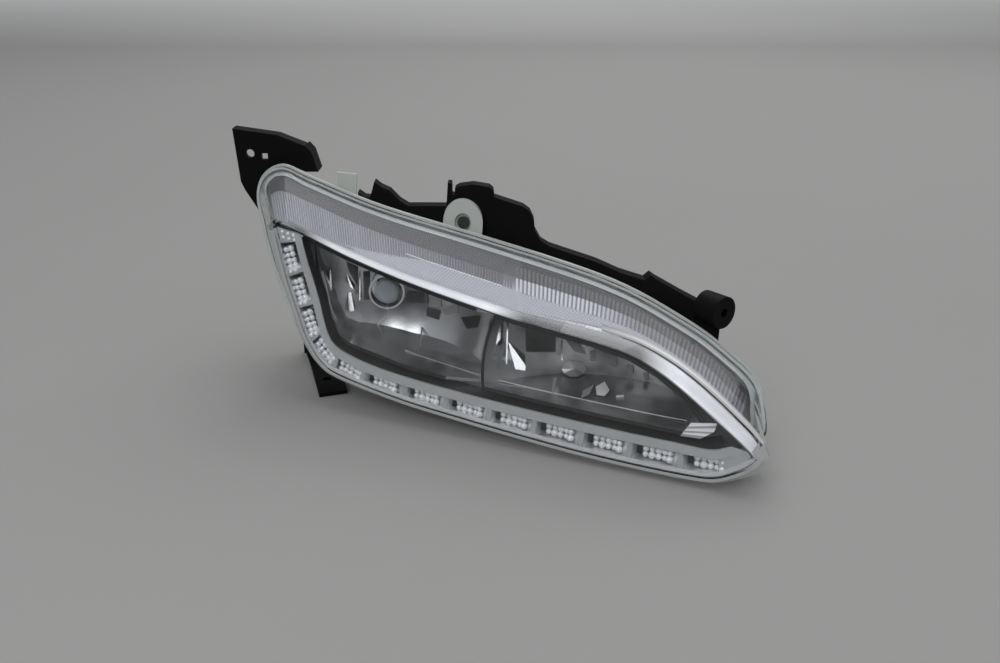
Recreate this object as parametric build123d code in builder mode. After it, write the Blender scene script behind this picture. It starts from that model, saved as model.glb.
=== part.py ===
from build123d import *
from math import atan2, cos, degrees, hypot, radians, sin
import os

os.makedirs("parts", exist_ok=True)

# All sizes are millimetres. The origin is the middle of the upper fixing hole, on the front of its plate.
# +X runs along the lamp, -Y is the way the light leaves and +Z is up.

# Lamp face: where it lies from the fixing hole and how it is turned
FACE_X = 175.6
FACE_Y = -146.2
FACE_Z = -147.5
SWEEP = 24.0
RAKE = 10.0

# Lens edge, station by station round the face: along the face, up the face, how far the rim flares
# beyond the face (along, up) and the width of the edge band
STATIONS = [
    (-174.8, 110.0, -18.0, 9.0, 2.5),
    (-171.8, 101.0, -17.3, 5.4, 2.5),
    (-163.0, 76.5, -16.0, 0.5, 2.5),
    (-155.5, 59.5, -14.0, -2.0, 2.5),
    (-146.8, 41.0, -11.0, -5.0, 2.5),
    (-134.0, 25.4, -7.0, -6.0, 2.0),
    (-117.0, 17.8, -3.0, -4.0, 1.8),
    (-72.0, 10.0, 0.0, -3.0, 1.5),
    (-28.0, 5.8, 0.0, -2.5, 1.5),
    (13.0, 2.5, 0.0, -2.5, 1.5),
    (53.0, 0.1, 0.0, -2.5, 1.5),
    (90.0, -0.8, 0.0, -2.5, 1.5),
    (120.0, -0.5, 1.0, -2.5, 1.5),
    (135.0, 1.4, 3.0, -2.5, 2.0),
    (148.0, 8.0, 5.0, -4.0, 3.0),
    (155.5, 14.0, 7.5, -1.0, 4.0),
    (158.0, 18.5, 8.0, 2.0, 5.0),
    (154.5, 23.0, 11.0, 4.0, 7.0),
    (145.0, 30.0, 16.0, 13.0, 8.0),
    (120.0, 47.0, 15.0, 18.0, 9.0),
    (100.0, 59.0, 8.0, 19.5, 8.5),
    (80.0, 67.0, 3.0, 21.5, 8.0),
    (58.0, 71.0, 0.0, 24.5, 7.5),
    (33.0, 74.0, 0.0, 26.5, 6.5),
    (4.0, 77.5, -0.5, 28.0, 5.5),
    (-40.0, 85.0, -1.0, 27.5, 5.0),
    (-76.0, 92.0, -2.0, 26.0, 4.5),
    (-113.0, 101.0, -3.0, 24.5, 4.0),
    (-150.0, 112.0, -4.0, 23.5, 3.5),
    (-168.0, 116.0, -9.0, 25.0, 3.0),
    (-173.5, 114.5, -16.0, 19.5, 2.5),
]
RIDGE_RIGHT = 18
RIDGE_JOINT = 24
RIDGE_LEFT = 29
LOWER_EDGE = (6, 15)
# Stations where one curve of the outline ends and the next begins
JOINTS = [2, 7, 12, 19, 24, 28]

# Lens
BAND_DEPTH = 2.5
RIM_DEPTH = 34.0
FACE_WALL = 2.8
LENS_WALL = 2.6
FLANGE_WIDTH = 3.0
FLANGE_LOWER = 1.0
FLANGE_THICK = 3.0
SEAL_THICK = 1.2
SEAL_OUT = 0.8
SEAL_IN = 2.0

# Rear housing
HOUSING_LIP = 0.8
HOUSING_FLANGE = 3.0
CHANNEL_OUT = 0.5
CHANNEL_IN = 5.0
CHANNEL_BACK = 45.0
HOUSING_WALL = 3.2
BACK_DEPTH = 92.0
BACK_WALL = 3.0
BACK_MIDDLE = (-20.0, 58.0)
BACK_SHARE = 0.72
EAR_SPOT = (-35.7, 118.5)
EAR_RADIUS = 14.3
EAR_FRONT = 45.0
EAR_THICK = 6.0
EAR_RECESS = 6.0
EAR_RECESS_DEPTH = 2.5
TAB_SPOT = (-125.0, 130.0)
TAB_WIDTH = 16.0
TAB_HEIGHT = 24.0
TAB_THICK = 3.0

# Row of light cells along the left and lower edge
ROW_FRONT = 6.0
ROW_BACK = 20.0
ROW_OUTER = 2.0
ROW_INNER = [17.6, 17.6, 17.1, 15.1, 13.1, 12.2, 11.8, 12.6, 13.8, 14.8, 14.8, 14.2, 13.0, 11.0]
STRIP_WIDTH = [3.9, 3.9, 3.9, 3.9, 3.9, 4.2, 4.0, 3.8, 3.6, 3.5, 3.5, 3.4, 3.4, 3.4]
STRIP_LAP = 1.6
STRIP_FRONT = 4.5
STRIP_LEG = 1.8
CELL_WALL = 0.9
CELL_FLOOR = 18.0
CELL_THROAT = 6.0
SIDE_CELLS = 5
LOWER_CELLS = 8
CELL_GAP = 3.0
LED_SIZE = 3.5
LED_HEIGHT = 1.3
BOARD_THICK = 1.6
BOARD_MARGIN = 0.8
BOARD_GAP = 3.0
LINK_LENGTH = 14.0
LINK_WIDTH = 4.0
LINK_THICK = 2.0

# Inner bezel and main reflector
BEZEL_THICK = 2.5
BEZEL_MARGIN = 2.5
BEZEL_TOP = 5.0
APERTURE_MARGIN = 2.6
APERTURE_TOP = 6.0
APERTURE_TIP = (130.0, 26.0)
APERTURE_CORNER = (-142.0, 103.0)
REFLECTOR_FRONT = 12.0
REFLECTOR_WALL = 2.2
REFLECTOR_FIT = 0.3
REFLECTOR_CLEARANCE = 3.0
BULB_SPOT = (-88.0, 69.5)
BULB_VERTEX = 66.0
BULB_BOWL = 82.0
SECOND_UP = 46.0
# Distance between the bowls as a share of both radii, so that they always meet
BOWL_SHARE = 0.8276
SECOND_VERTEX = 66.0
SECOND_BOWL = 92.0
REFLECTOR_TAB = 12.0
REFLECTOR_SCREWS = [(-125.0, 105.0), (-20.0, 82.5), (94.0, 61.5)]
POST_RADIUS = 4.5

# Fluted trim under the shoulder
TRIM_FRONT = 7.0
TRIM_THICK = 1.6
TRIM_DROP = 1.0
TRIM_SEAT = 5.0
TRIM_GAP = 3.0

# Bulb, its holder and its port
NECK_RADIUS = 10.0
NECK_CLEARANCE = 0.6
CAPSULE_RADIUS = 7.0
CAPSULE_LENGTH = 30.0
CAPSULE_SET = 4.0
SHIELD_RADIUS = 12.0
SHIELD_WALL = 1.2
SHIELD_LENGTH = 8.0
SHIELD_LEGS = 3
SHIELD_LEG_RADIUS = 1.0
PORT_RADIUS = 18.0
PORT_BORE = 14.0
PORT_ROOT = 16.0
PORT_STANDOFF = 11.0
SEAL_SECTION = 1.2
HOLDER_FLANGE = 18.0
HOLDER_FLANGE_THICK = 4.0
SOCKET_WIDTH = 24.0
SOCKET_HEIGHT = 16.0
SOCKET_LENGTH = 20.0
SOCKET_WALL = 2.0
SOCKET_DEPTH = 15.0
BLADE_WIDTH = 2.8
BLADE_THICK = 0.8
BLADE_LENGTH = 10.0
BLADE_SPACING = 8.0

# Connector of the light row, on the back of the housing
PLUG_SPOT = (24.0, 50.0)
PLUG_WIDTH = 22.0
PLUG_HEIGHT = 14.0
PLUG_LENGTH = 18.0
PLUG_WALL = 2.0
PLUG_DEPTH = 13.0
PLUG_FLANGE = 4.0
PLUG_FLANGE_THICK = 2.5
PLUG_SEAL = 1.2
PLUG_INNER = 6.0
PIN_SIZE = 1.2
PIN_LENGTH = 6.0
PIN_COUNT = 3
PIN_SPACING = 5.0
WIRE_RADIUS = 1.0
WIRE_BEND = 4.0
WIRE_SPACING = 4.0
VENT_SPOT = (74.0, 52.0)
VENT_RADIUS = 8.0
VENT_HEIGHT = 6.0
VENT_WALL = 1.6
VENT_BORE = 3.0
MEMBRANE_THICK = 0.6

# Bracket
PLATE_THICK = 4.0
PLATE_HOLE = 3.0
SQUARE_HOLE = 4.5
SQUARE_SPOT = (10.0, -2.1)
PLATE_TOP = 17.5
BEAM_FRONT = 51.0
BEAM_THICK = 10.0
BEAM_WALL = 3.0
BEAM_DROP = 1.2
TOWER_TOP = 140.3
BRIDGE_LOW = 117.0
BRIDGE_TOP = 125.0
PIN_TOP = 141.4
TOWER_LEFT = -43.0
TOWER_RIGHT = -15.5
SPINE_GAP = 3.0
SPINE_THICK = 3.0
SPINE_LOW = 92.0
SPINE_HIGH = 105.0
SPINE_LEFT = -172.0
WALL_HEIGHT = 24.0
SPINE_SCREWS = [(-132.0, 98.5), (-58.0, 98.5)]
# Front of the end boss, measured from the place of the lamp face
BOSS_OFFSET = (134.0, 5.7, 81.5)
BOSS_TURN = 38.0
BOSS_RADIUS = 10.0
BOSS_LENGTH = 16.0
BOSS_BORE = 2.75
BOSS_BORE_DEPTH = 12.0
FOOT_THICK = 3.0
FOOT_HOLE = 3.0
FOOT_HOLE_SPOT = (52.9, -53.0)

# Upper edge of the beam, along and up the face: hook, slab, pin, tower, step and peak
BEAM_UPPER = [
    (-116.5, 128.6),
    (-111.0, 126.0),
    (-106.8, 126.0),
    (-104.0, 137.0),
    (-99.0, 134.2),
    (-91.5, 132.0),
    (-84.0, 126.3),
    (-77.0, 123.4),
    (-48.5, 126.3),
    (-48.5, PIN_TOP),
    (-45.5, PIN_TOP),
    (-44.8, 134.0),
    (TOWER_LEFT, 134.0),
    (TOWER_LEFT, TOWER_TOP - 2.0),
    (-39.5, TOWER_TOP),
    (-30.0, TOWER_TOP + 2.0),
    (-18.5, TOWER_TOP + 1.4),
    (TOWER_RIGHT, TOWER_TOP - 0.5),
    (-14.5, 135.6),
    (-3.0, 133.4),
    (6.0, 131.6),
    (11.0, 129.0),
    (14.2, 124.0),
    (15.2, 117.8),
    (20.0, 111.2),
    (26.0, 108.6),
    (58.0, 102.6),
    (74.0, 98.0),
    (90.0, 95.3),
    (93.6, 98.8),
    (97.0, 97.0),
    (113.5, 90.4),
    (127.0, 85.4),
    (139.0, 82.0),
    (139.0, 65.0),
]

# Screws
SCREW_RADIUS = 2.0
SCREW_CLEARANCE = 0.3
SCREW_HEAD = 4.0
SCREW_HEAD_HEIGHT = 2.4
SMALL_SCREW = 1.2
SMALL_HEAD = 2.2
SMALL_HEAD_HEIGHT = 1.6
SMALL_GRIP = 3.5
REFLECTOR_GRIP = 6.0
BRACKET_GRIP = 9.0
SPINE_BOSS = 5.0
SPINE_BOSS_SET = 8.0

# Reach of cuts that go right through a wall
THROUGH = 20.0

BACK = (0, 1, 0)
sweep_angle = radians(SWEEP)
rake_angle = radians(RAKE)
ALONG = Vector(cos(sweep_angle), -sin(sweep_angle), 0)
OUTWARD = Vector(-sin(sweep_angle) * cos(rake_angle), -cos(sweep_angle) * cos(rake_angle), sin(rake_angle))
UPWARD = OUTWARD.cross(ALONG)
# Distance along the face normal that one millimetre of depth makes
NORMAL_SHARE = cos(sweep_angle) * cos(rake_angle)


def spot(along, up, depth):
    """Point of the lamp: along and up the face, then straight back by depth."""
    return Vector(FACE_X, FACE_Y + depth, FACE_Z) + ALONG * along + UPWARD * up


def face_plane(depth, along=0.0, up=0.0):
    """Plane parallel to the lamp face, depth behind it."""
    return Plane(origin=spot(along, up, depth), x_dir=ALONG, z_dir=OUTWARD)


def front_plane(x, y, z):
    """Upright plane that looks along -Y."""
    return Plane(origin=(x, y, z), x_dir=(1, 0, 0), z_dir=(0, -1, 0))


def grown(points, amounts):
    """Closed run of points moved outward, each by its own amount or all by the same one."""
    count = len(points)
    each = amounts if isinstance(amounts, list) else [amounts] * count
    moved = []
    for index, point in enumerate(points):
        before = points[index - 1]
        after = points[(index + 1) % count]
        step = (after[0] - before[0], after[1] - before[1])
        length = hypot(step[0], step[1])
        shift = each[index] / length
        moved.append((point[0] + shift * step[1], point[1] - shift * step[0]))
    return moved


def shrunk(points, middle, share):
    """Run of points drawn toward a middle point."""
    return [(middle[0] + share * (p[0] - middle[0]), middle[1] + share * (p[1] - middle[1])) for p in points]


def outline(depth, points):
    """Closed smooth outline through the points, on the plane at this depth."""
    ring = points + points
    curves = []
    for number, start in enumerate(JOINTS):
        stop = JOINTS[number + 1] if number + 1 < len(JOINTS) else JOINTS[0] + len(points)
        first = Vector(*ring[start + 1]) - Vector(*ring[start - 1])
        last = Vector(*ring[stop + 1]) - Vector(*ring[stop - 1])
        run = [Vector(*point) for point in ring[start : stop + 1]]
        curves.append(Edge.make_spline(run, tangents=[first, last]))
    return face_plane(depth).from_local_coords(Face(Wire(curves)))


def ribbon(depth, first, second):
    """Area between two smooth runs of points that go the same way."""
    with BuildSketch(face_plane(depth)) as drawn:
        with BuildLine():
            Spline(*first)
            Line(first[-1], second[-1])
            Spline(*second)
            Line(second[0], first[0])
        make_face()
    return drawn.sketch


def polygon(plane, points):
    """Area inside straight edges on a plane."""
    with BuildSketch(plane) as drawn:
        with BuildLine():
            Polyline(*points, close=True)
        make_face()
    return drawn.sketch


def box_face(plane, width, height, turn=0.0):
    """Rectangle in the middle of a plane."""
    with BuildSketch(plane) as drawn:
        Rectangle(width, height, rotation=turn)
    return drawn.sketch


def disc(plane, radius):
    """Round area in the middle of a plane."""
    with BuildSketch(plane) as drawn:
        Circle(radius)
    return drawn.sketch


def row_line(insets):
    """Left and lower part of the face edge, moved inward station by station."""
    count = len(STATIONS)
    full = [0.0] * count
    for index, inset in enumerate(insets):
        full[index + 1] = -inset
    return grown(FACE, full)[1 : len(insets) + 1]


def stretch(line, start, stop, count=9):
    """Points of a curve between two distances along it."""
    marks = [start + (stop - start) * index / (count - 1) for index in range(count)]
    places = [line.position_at(mark, position_mode=PositionMode.LENGTH) for mark in marks]
    return [(place.X, place.Y) for place in places]


FACE = [(s[0], s[1]) for s in STATIONS]
BAND = grown(FACE, [s[4] for s in STATIONS])
RIM = [(s[0] + s[2], s[1] + s[3]) for s in STATIONS]
flange_widths = [FLANGE_WIDTH] * len(RIM)
for index in range(LOWER_EDGE[0], LOWER_EDGE[1] + 1):
    flange_widths[index] = FLANGE_LOWER
FLANGE = grown(RIM, flange_widths)
HOUSING_FLANGE_EDGE = grown(FLANGE, HOUSING_LIP)
# The lamp stands on the lowest part of its flange and on the foot of the bracket
FOOT_LOW = min(spot(point[0], point[1], 0).Z for point in HOUSING_FLANGE_EDGE)

# Depths that follow from the stack of lens, housing, row, boards and bezel
SEAL_DEPTH = RIM_DEPTH + FLANGE_THICK
SEAT_DEPTH = SEAL_DEPTH + SEAL_THICK
BOARD_BACK = ROW_BACK + BOARD_THICK
BEZEL_BACK = BOARD_BACK + BEZEL_THICK
TAB_BACK = BEZEL_BACK + REFLECTOR_WALL
INNER_BACK = BACK_DEPTH - BACK_WALL
SPINE_FRONT = BACK_DEPTH + SPINE_GAP
BRIDGE_BACK = SPINE_FRONT + SPINE_THICK
# The port of the bulb, measured back from the bottom of its bowl
PORT_START = BACK_DEPTH - BULB_VERTEX - PORT_ROOT
PORT_END = BACK_DEPTH - BULB_VERTEX + PORT_STANDOFF
REFLECTOR_REACH = INNER_BACK - REFLECTOR_CLEARANCE - REFLECTOR_FRONT

# Lines along the row of cells
ROW_OUTER_LINE = row_line([ROW_OUTER] * len(ROW_INNER))
ROW_INNER_LINE = row_line(ROW_INNER)
LAP_LINE = row_line([inset - STRIP_LAP for inset in ROW_INNER])
STRIP_LINE = row_line([inset + wide for inset, wide in zip(ROW_INNER, STRIP_WIDTH)])
LEG_LINE = row_line([inset + wide - STRIP_LEG for inset, wide in zip(ROW_INNER, STRIP_WIDTH)])
outer_curve = Spline(*ROW_OUTER_LINE)
inner_curve = Spline(*ROW_INNER_LINE)
middle_curve = Spline(*row_line([(ROW_OUTER + inset) / 2 for inset in ROW_INNER]))
row_length = middle_curve.length

# Cells: the side ones share the left side and the corner, the lower ones the bottom edge
side_share = 0.312
side_pitch = row_length * side_share / SIDE_CELLS
lower_pitch = row_length * (1 - side_share) / LOWER_CELLS
CELLS = []
for number in range(SIDE_CELLS):
    CELLS.append((side_pitch * (number + 0.5), side_pitch - CELL_GAP))
for number in range(LOWER_CELLS):
    CELLS.append((row_length * side_share + lower_pitch * (number + 0.5), lower_pitch - CELL_GAP))


def cell_place(distance):
    """Middle, turn and clear width of the row at a distance along it."""
    place = middle_curve.position_at(distance, position_mode=PositionMode.LENGTH)
    heading = middle_curve.tangent_at(distance, position_mode=PositionMode.LENGTH)
    share = distance / row_length
    far = inner_curve.position_at(share * inner_curve.length, position_mode=PositionMode.LENGTH)
    near = outer_curve.position_at(share * outer_curve.length, position_mode=PositionMode.LENGTH)
    wide = min((far - near).length, 2 * min((far - place).length, (near - place).length))
    return place.X, place.Y, degrees(atan2(heading.Y, heading.X)), wide


SPLIT = row_length * side_share
BOARD_SCREWS = [side_pitch, 3 * side_pitch]
BOARD_SCREWS += [SPLIT + lower_pitch, SPLIT + 4 * lower_pitch, SPLIT + 7 * lower_pitch]

# Opening of the bezel, which the reflector fills
aperture_amounts = [-APERTURE_TOP] * len(STATIONS)
for index, inset in enumerate(ROW_INNER):
    aperture_amounts[index + 1] = -(inset + STRIP_WIDTH[index] + APERTURE_MARGIN)
aperture_run = grown(FACE, aperture_amounts)
APERTURE = aperture_run[2:13] + [APERTURE_TIP] + aperture_run[19:28] + [APERTURE_CORNER]

bezel_amounts = [-BEZEL_MARGIN if index < RIDGE_RIGHT else BEZEL_TOP for index in range(len(STATIONS))]
bezel_amounts[RIDGE_RIGHT - 1] = -BEZEL_MARGIN / 2
bezel_amounts[RIDGE_RIGHT] = BEZEL_TOP / 2
bezel_amounts[-1] = -BEZEL_MARGIN
bezel_amounts[-2] = 0.0
BEZEL = grown(FACE, bezel_amounts)

CHANNEL = grown(RIM, CHANNEL_OUT)
OPENING = grown(RIM, -CHANNEL_IN)
BACK_EDGE = shrunk(RIM, BACK_MIDDLE, BACK_SHARE)
BACK_INNER = grown(BACK_EDGE, -HOUSING_WALL)

bulb = spot(BULB_SPOT[0], BULB_SPOT[1], BULB_VERTEX)
second_along = BULB_SPOT[0] + BOWL_SHARE * (BULB_BOWL + SECOND_BOWL)
second = spot(second_along, SECOND_UP, SECOND_VERTEX)


def bulb_plane(offset):
    """Upright plane across the bulb axis, offset behind the bottom of the bowl."""
    return front_plane(bulb.X, bulb.Y + offset, bulb.Z)


def post_spot(point):
    """Where a screw that starts on the bezel front reaches its post."""
    run = TAB_BACK - BOARD_BACK + REFLECTOR_GRIP / 2
    return point[0] - run * ALONG.Y, point[1] - run * UPWARD.Y


with BuildPart() as outer_lens:
    loft([outline(0, FACE), outline(BAND_DEPTH, BAND), outline(RIM_DEPTH, RIM)], ruled=True)
    extrude(outline(RIM_DEPTH, FLANGE), amount=FLANGE_THICK, dir=BACK)
    lens_inner = [
        outline(FACE_WALL, grown(FACE, -LENS_WALL / 2)),
        outline(BAND_DEPTH + FACE_WALL, grown(BAND, -LENS_WALL)),
        outline(SEAL_DEPTH, grown(RIM, -LENS_WALL)),
    ]
    loft(lens_inner, ruled=True, mode=Mode.SUBTRACT)
outer_lens.part.label = "outer_lens"
export_step(outer_lens.part, "parts/outer_lens.step")

with BuildPart() as lens_seal:
    extrude(outline(SEAL_DEPTH, grown(RIM, SEAL_OUT)), amount=SEAL_THICK, dir=BACK)
    seal_inner = outline(SEAL_DEPTH, grown(RIM, -SEAL_IN))
    extrude(seal_inner, amount=SEAL_THICK, dir=BACK, mode=Mode.SUBTRACT)
lens_seal.part.label = "lens_seal"
export_step(lens_seal.part, "parts/lens_seal.step")

with BuildPart() as rear_housing:
    extrude(outline(SEAT_DEPTH, HOUSING_FLANGE_EDGE), amount=HOUSING_FLANGE, dir=BACK)
    extrude(outline(SEAT_DEPTH, CHANNEL), amount=CHANNEL_BACK - SEAT_DEPTH, dir=BACK)
    shell_front = outline(CHANNEL_BACK, grown(RIM, HOUSING_WALL - CHANNEL_IN))
    loft([shell_front, outline(BACK_DEPTH, BACK_EDGE)], ruled=True)
    # Ear and tab that stand up behind the flange
    with BuildSketch(face_plane(EAR_FRONT, EAR_SPOT[0], EAR_SPOT[1])) as ear_shape:
        Circle(EAR_RADIUS)
        with Locations((0, -EAR_RADIUS)):
            Rectangle(2 * EAR_RADIUS, 2 * EAR_RADIUS)
    extrude(ear_shape.sketch, amount=EAR_THICK, dir=BACK)
    extrude(box_face(face_plane(EAR_FRONT, *TAB_SPOT), TAB_WIDTH, TAB_HEIGHT), amount=TAB_THICK, dir=BACK)
    # Inside
    extrude(outline(SEAT_DEPTH, OPENING), amount=CHANNEL_BACK - SEAT_DEPTH, dir=BACK, mode=Mode.SUBTRACT)
    loft([outline(CHANNEL_BACK, OPENING), outline(INNER_BACK, BACK_INNER)], ruled=True, mode=Mode.SUBTRACT)
    # Posts for the reflector screws
    for place in REFLECTOR_SCREWS:
        post = disc(face_plane(TAB_BACK, *post_spot(place)), POST_RADIUS)
        extrude(post, amount=INNER_BACK - TAB_BACK + BACK_WALL / 2, dir=BACK)
    for place in REFLECTOR_SCREWS:
        hole = disc(face_plane(BOARD_BACK, *place), SCREW_RADIUS)
        depth_needed = (TAB_BACK - BOARD_BACK) * NORMAL_SHARE + REFLECTOR_GRIP
        extrude(hole, amount=-depth_needed, mode=Mode.SUBTRACT)
    # Bosses for the bracket screws
    for place in SPINE_SCREWS:
        boss = disc(face_plane(SPINE_FRONT, *place), SPINE_BOSS)
        extrude(boss, amount=-(SPINE_FRONT - INNER_BACK + SPINE_BOSS_SET), dir=BACK)
    for place in SPINE_SCREWS:
        hole = disc(face_plane(SPINE_FRONT, *place), SCREW_RADIUS)
        extrude(hole, amount=BRACKET_GRIP, mode=Mode.SUBTRACT)
    # Recess and hole of the ear
    recess = disc(face_plane(EAR_FRONT, *EAR_SPOT), EAR_RECESS)
    extrude(recess, amount=-EAR_RECESS_DEPTH, mode=Mode.SUBTRACT)
    ear_bore = disc(face_plane(EAR_FRONT, *EAR_SPOT), SCREW_RADIUS + SCREW_CLEARANCE)
    extrude(ear_bore, amount=-2 * EAR_THICK, mode=Mode.SUBTRACT)
    # Bulb port
    extrude(disc(bulb_plane(PORT_END), PORT_RADIUS), amount=PORT_END - PORT_START)
    extrude(disc(bulb_plane(PORT_END + 1), PORT_BORE), amount=PORT_END + 30, mode=Mode.SUBTRACT)
    # Openings for the connector and the vent
    window = box_face(face_plane(BACK_DEPTH, *PLUG_SPOT), PLUG_WIDTH, PLUG_HEIGHT)
    extrude(window, amount=2 * BACK_WALL, mode=Mode.SUBTRACT)
    extrude(disc(face_plane(BACK_DEPTH, *VENT_SPOT), VENT_BORE), amount=2 * BACK_WALL, mode=Mode.SUBTRACT)
rear_housing.part.label = "rear_housing"
export_step(rear_housing.part, "parts/rear_housing.step")

with BuildPart() as drl_reflector:
    extrude(ribbon(ROW_FRONT, ROW_OUTER_LINE, ROW_INNER_LINE), amount=ROW_BACK - ROW_FRONT, dir=BACK)
    for distance, length in CELLS:
        along, up, turn, wide = cell_place(distance)
        mouth = box_face(face_plane(ROW_FRONT - 0.01, along, up), length, wide - 2 * CELL_WALL, turn)
        throat = box_face(face_plane(CELL_FLOOR, along, up), CELL_THROAT + 2, CELL_THROAT, turn)
        loft([mouth, throat], ruled=True, mode=Mode.SUBTRACT)
        well = box_face(face_plane(CELL_FLOOR - 0.01, along, up), CELL_THROAT, CELL_THROAT - 1, turn)
        extrude(well, amount=ROW_BACK - CELL_FLOOR + 1, dir=BACK, mode=Mode.SUBTRACT)
    for distance in BOARD_SCREWS:
        along, up, turn, wide = cell_place(distance)
        hole = disc(face_plane(BEZEL_BACK, along, up), SMALL_SCREW)
        reach = (BEZEL_BACK - ROW_BACK) * NORMAL_SHARE + SMALL_GRIP
        extrude(hole, amount=reach, mode=Mode.SUBTRACT)
drl_reflector.part.label = "drl_reflector"
export_step(drl_reflector.part, "parts/drl_reflector.step")

with BuildPart() as trim_strip:
    extrude(ribbon(STRIP_FRONT, LAP_LINE, STRIP_LINE), amount=ROW_FRONT - STRIP_FRONT, dir=BACK)
    extrude(ribbon(ROW_FRONT, LEG_LINE, STRIP_LINE), amount=BOARD_BACK - ROW_FRONT, dir=BACK)
trim_strip.part.label = "trim_strip"
export_step(trim_strip.part, "parts/trim_strip.step")

board_outer = Spline(*row_line([ROW_OUTER + BOARD_MARGIN] * len(ROW_INNER)))
board_inner = Spline(*row_line([inset - BOARD_MARGIN for inset in ROW_INNER]))
side_stop = side_share - BOARD_GAP / 2 / row_length
lower_start = side_share + BOARD_GAP / 2 / row_length

with BuildPart() as led_board_side:
    near = stretch(board_outer, 0.0, board_outer.length * side_stop)
    far = stretch(board_inner, 0.0, board_inner.length * side_stop)
    extrude(ribbon(ROW_BACK, near, far), amount=BOARD_THICK, dir=BACK)
    for distance in BOARD_SCREWS:
        along, up, turn, wide = cell_place(distance)
        hole = disc(face_plane(BEZEL_BACK, along, up), SMALL_SCREW + SCREW_CLEARANCE)
        extrude(hole, amount=BEZEL_BACK - ROW_BACK, mode=Mode.SUBTRACT)
led_board_side.part.label = "led_board_side"
export_step(led_board_side.part, "parts/led_board_side.step")

with BuildPart() as led_board_lower:
    near = stretch(board_outer, board_outer.length * lower_start, board_outer.length)
    far = stretch(board_inner, board_inner.length * lower_start, board_inner.length)
    extrude(ribbon(ROW_BACK, near, far), amount=BOARD_THICK, dir=BACK)
    for distance in BOARD_SCREWS:
        along, up, turn, wide = cell_place(distance)
        hole = disc(face_plane(BEZEL_BACK, along, up), SMALL_SCREW + SCREW_CLEARANCE)
        extrude(hole, amount=BEZEL_BACK - ROW_BACK, mode=Mode.SUBTRACT)
led_board_lower.part.label = "led_board_lower"
export_step(led_board_lower.part, "parts/led_board_lower.step")

with BuildPart() as leds:
    for distance, length in CELLS:
        along, up, turn, wide = cell_place(distance)
        extrude(box_face(face_plane(ROW_BACK, along, up), LED_SIZE, LED_SIZE, turn), amount=LED_HEIGHT)
leds.part.label = "leds"
export_step(leds.part, "parts/leds.step")

link_along, link_up, link_turn, link_wide = cell_place(SPLIT)

with BuildPart() as board_link:
    link_face = box_face(face_plane(BOARD_BACK, link_along, link_up), LINK_LENGTH, LINK_WIDTH, link_turn)
    extrude(link_face, amount=LINK_THICK, dir=BACK)
board_link.part.label = "board_link"
export_step(board_link.part, "parts/board_link.step")

with BuildPart() as board_screws:
    for distance in BOARD_SCREWS:
        along, up, turn, wide = cell_place(distance)
        seat = face_plane(BEZEL_BACK, along, up)
        extrude(disc(seat, SMALL_HEAD), amount=-SMALL_HEAD_HEIGHT)
        extrude(disc(seat, SMALL_SCREW), amount=(BEZEL_BACK - ROW_BACK) * NORMAL_SHARE + SMALL_GRIP)
board_screws.part.label = "board_screws"
export_step(board_screws.part, "parts/board_screws.step")

wire_along, wire_up, wire_turn, wire_wide = cell_place(SPLIT + 4.5 * lower_pitch)

with BuildPart() as inner_bezel:
    extrude(polygon(face_plane(BOARD_BACK), BEZEL), amount=BEZEL_THICK, dir=BACK)
    bezel_opening = polygon(face_plane(BOARD_BACK), grown(APERTURE, REFLECTOR_FIT))
    extrude(bezel_opening, amount=BEZEL_THICK, dir=BACK, mode=Mode.SUBTRACT)
    for place in REFLECTOR_SCREWS:
        hole = disc(face_plane(BOARD_BACK, *place), SCREW_RADIUS + SCREW_CLEARANCE)
        extrude(hole, amount=-2 * BEZEL_THICK, mode=Mode.SUBTRACT)
    for distance in BOARD_SCREWS:
        along, up, turn, wide = cell_place(distance)
        hole = disc(face_plane(BEZEL_BACK, along, up), SMALL_SCREW + SCREW_CLEARANCE)
        extrude(hole, amount=BEZEL_THICK, mode=Mode.SUBTRACT)
    window = box_face(face_plane(BOARD_BACK, link_along, link_up), LINK_LENGTH + 1, LINK_WIDTH + 1, link_turn)
    extrude(window, amount=BEZEL_THICK, dir=BACK, mode=Mode.SUBTRACT)
    for side in (-1, 1):
        hole_plane = face_plane(BOARD_BACK, wire_along + side * WIRE_SPACING / 2, wire_up)
        extrude(disc(hole_plane, WIRE_RADIUS + SCREW_CLEARANCE), amount=-BEZEL_THICK, mode=Mode.SUBTRACT)
inner_bezel.part.label = "inner_bezel"
export_step(inner_bezel.part, "parts/inner_bezel.step")

# Space inside the two bowls of the reflector
with BuildPart() as bowls:
    for bottom, radius in ((bulb, BULB_BOWL), (second, SECOND_BOWL)):
        with BuildSketch(Plane(origin=bottom, x_dir=(1, 0, 0), z_dir=(0, 0, 1))) as bowl:
            with BuildLine():
                RadiusArc((0, 0), (radius, -radius), radius)
                Line((radius, -radius), (0, -radius))
                Line((0, -radius), (0, 0))
            make_face()
        revolve(bowl.sketch, axis=Axis(bottom, BACK))

with BuildPart() as reflector_space:
    inside = polygon(face_plane(REFLECTOR_FRONT - 1), grown(APERTURE, -REFLECTOR_WALL))
    extrude(inside, amount=REFLECTOR_REACH + 1, dir=BACK)
    add(bowls.part, mode=Mode.INTERSECT)

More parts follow.
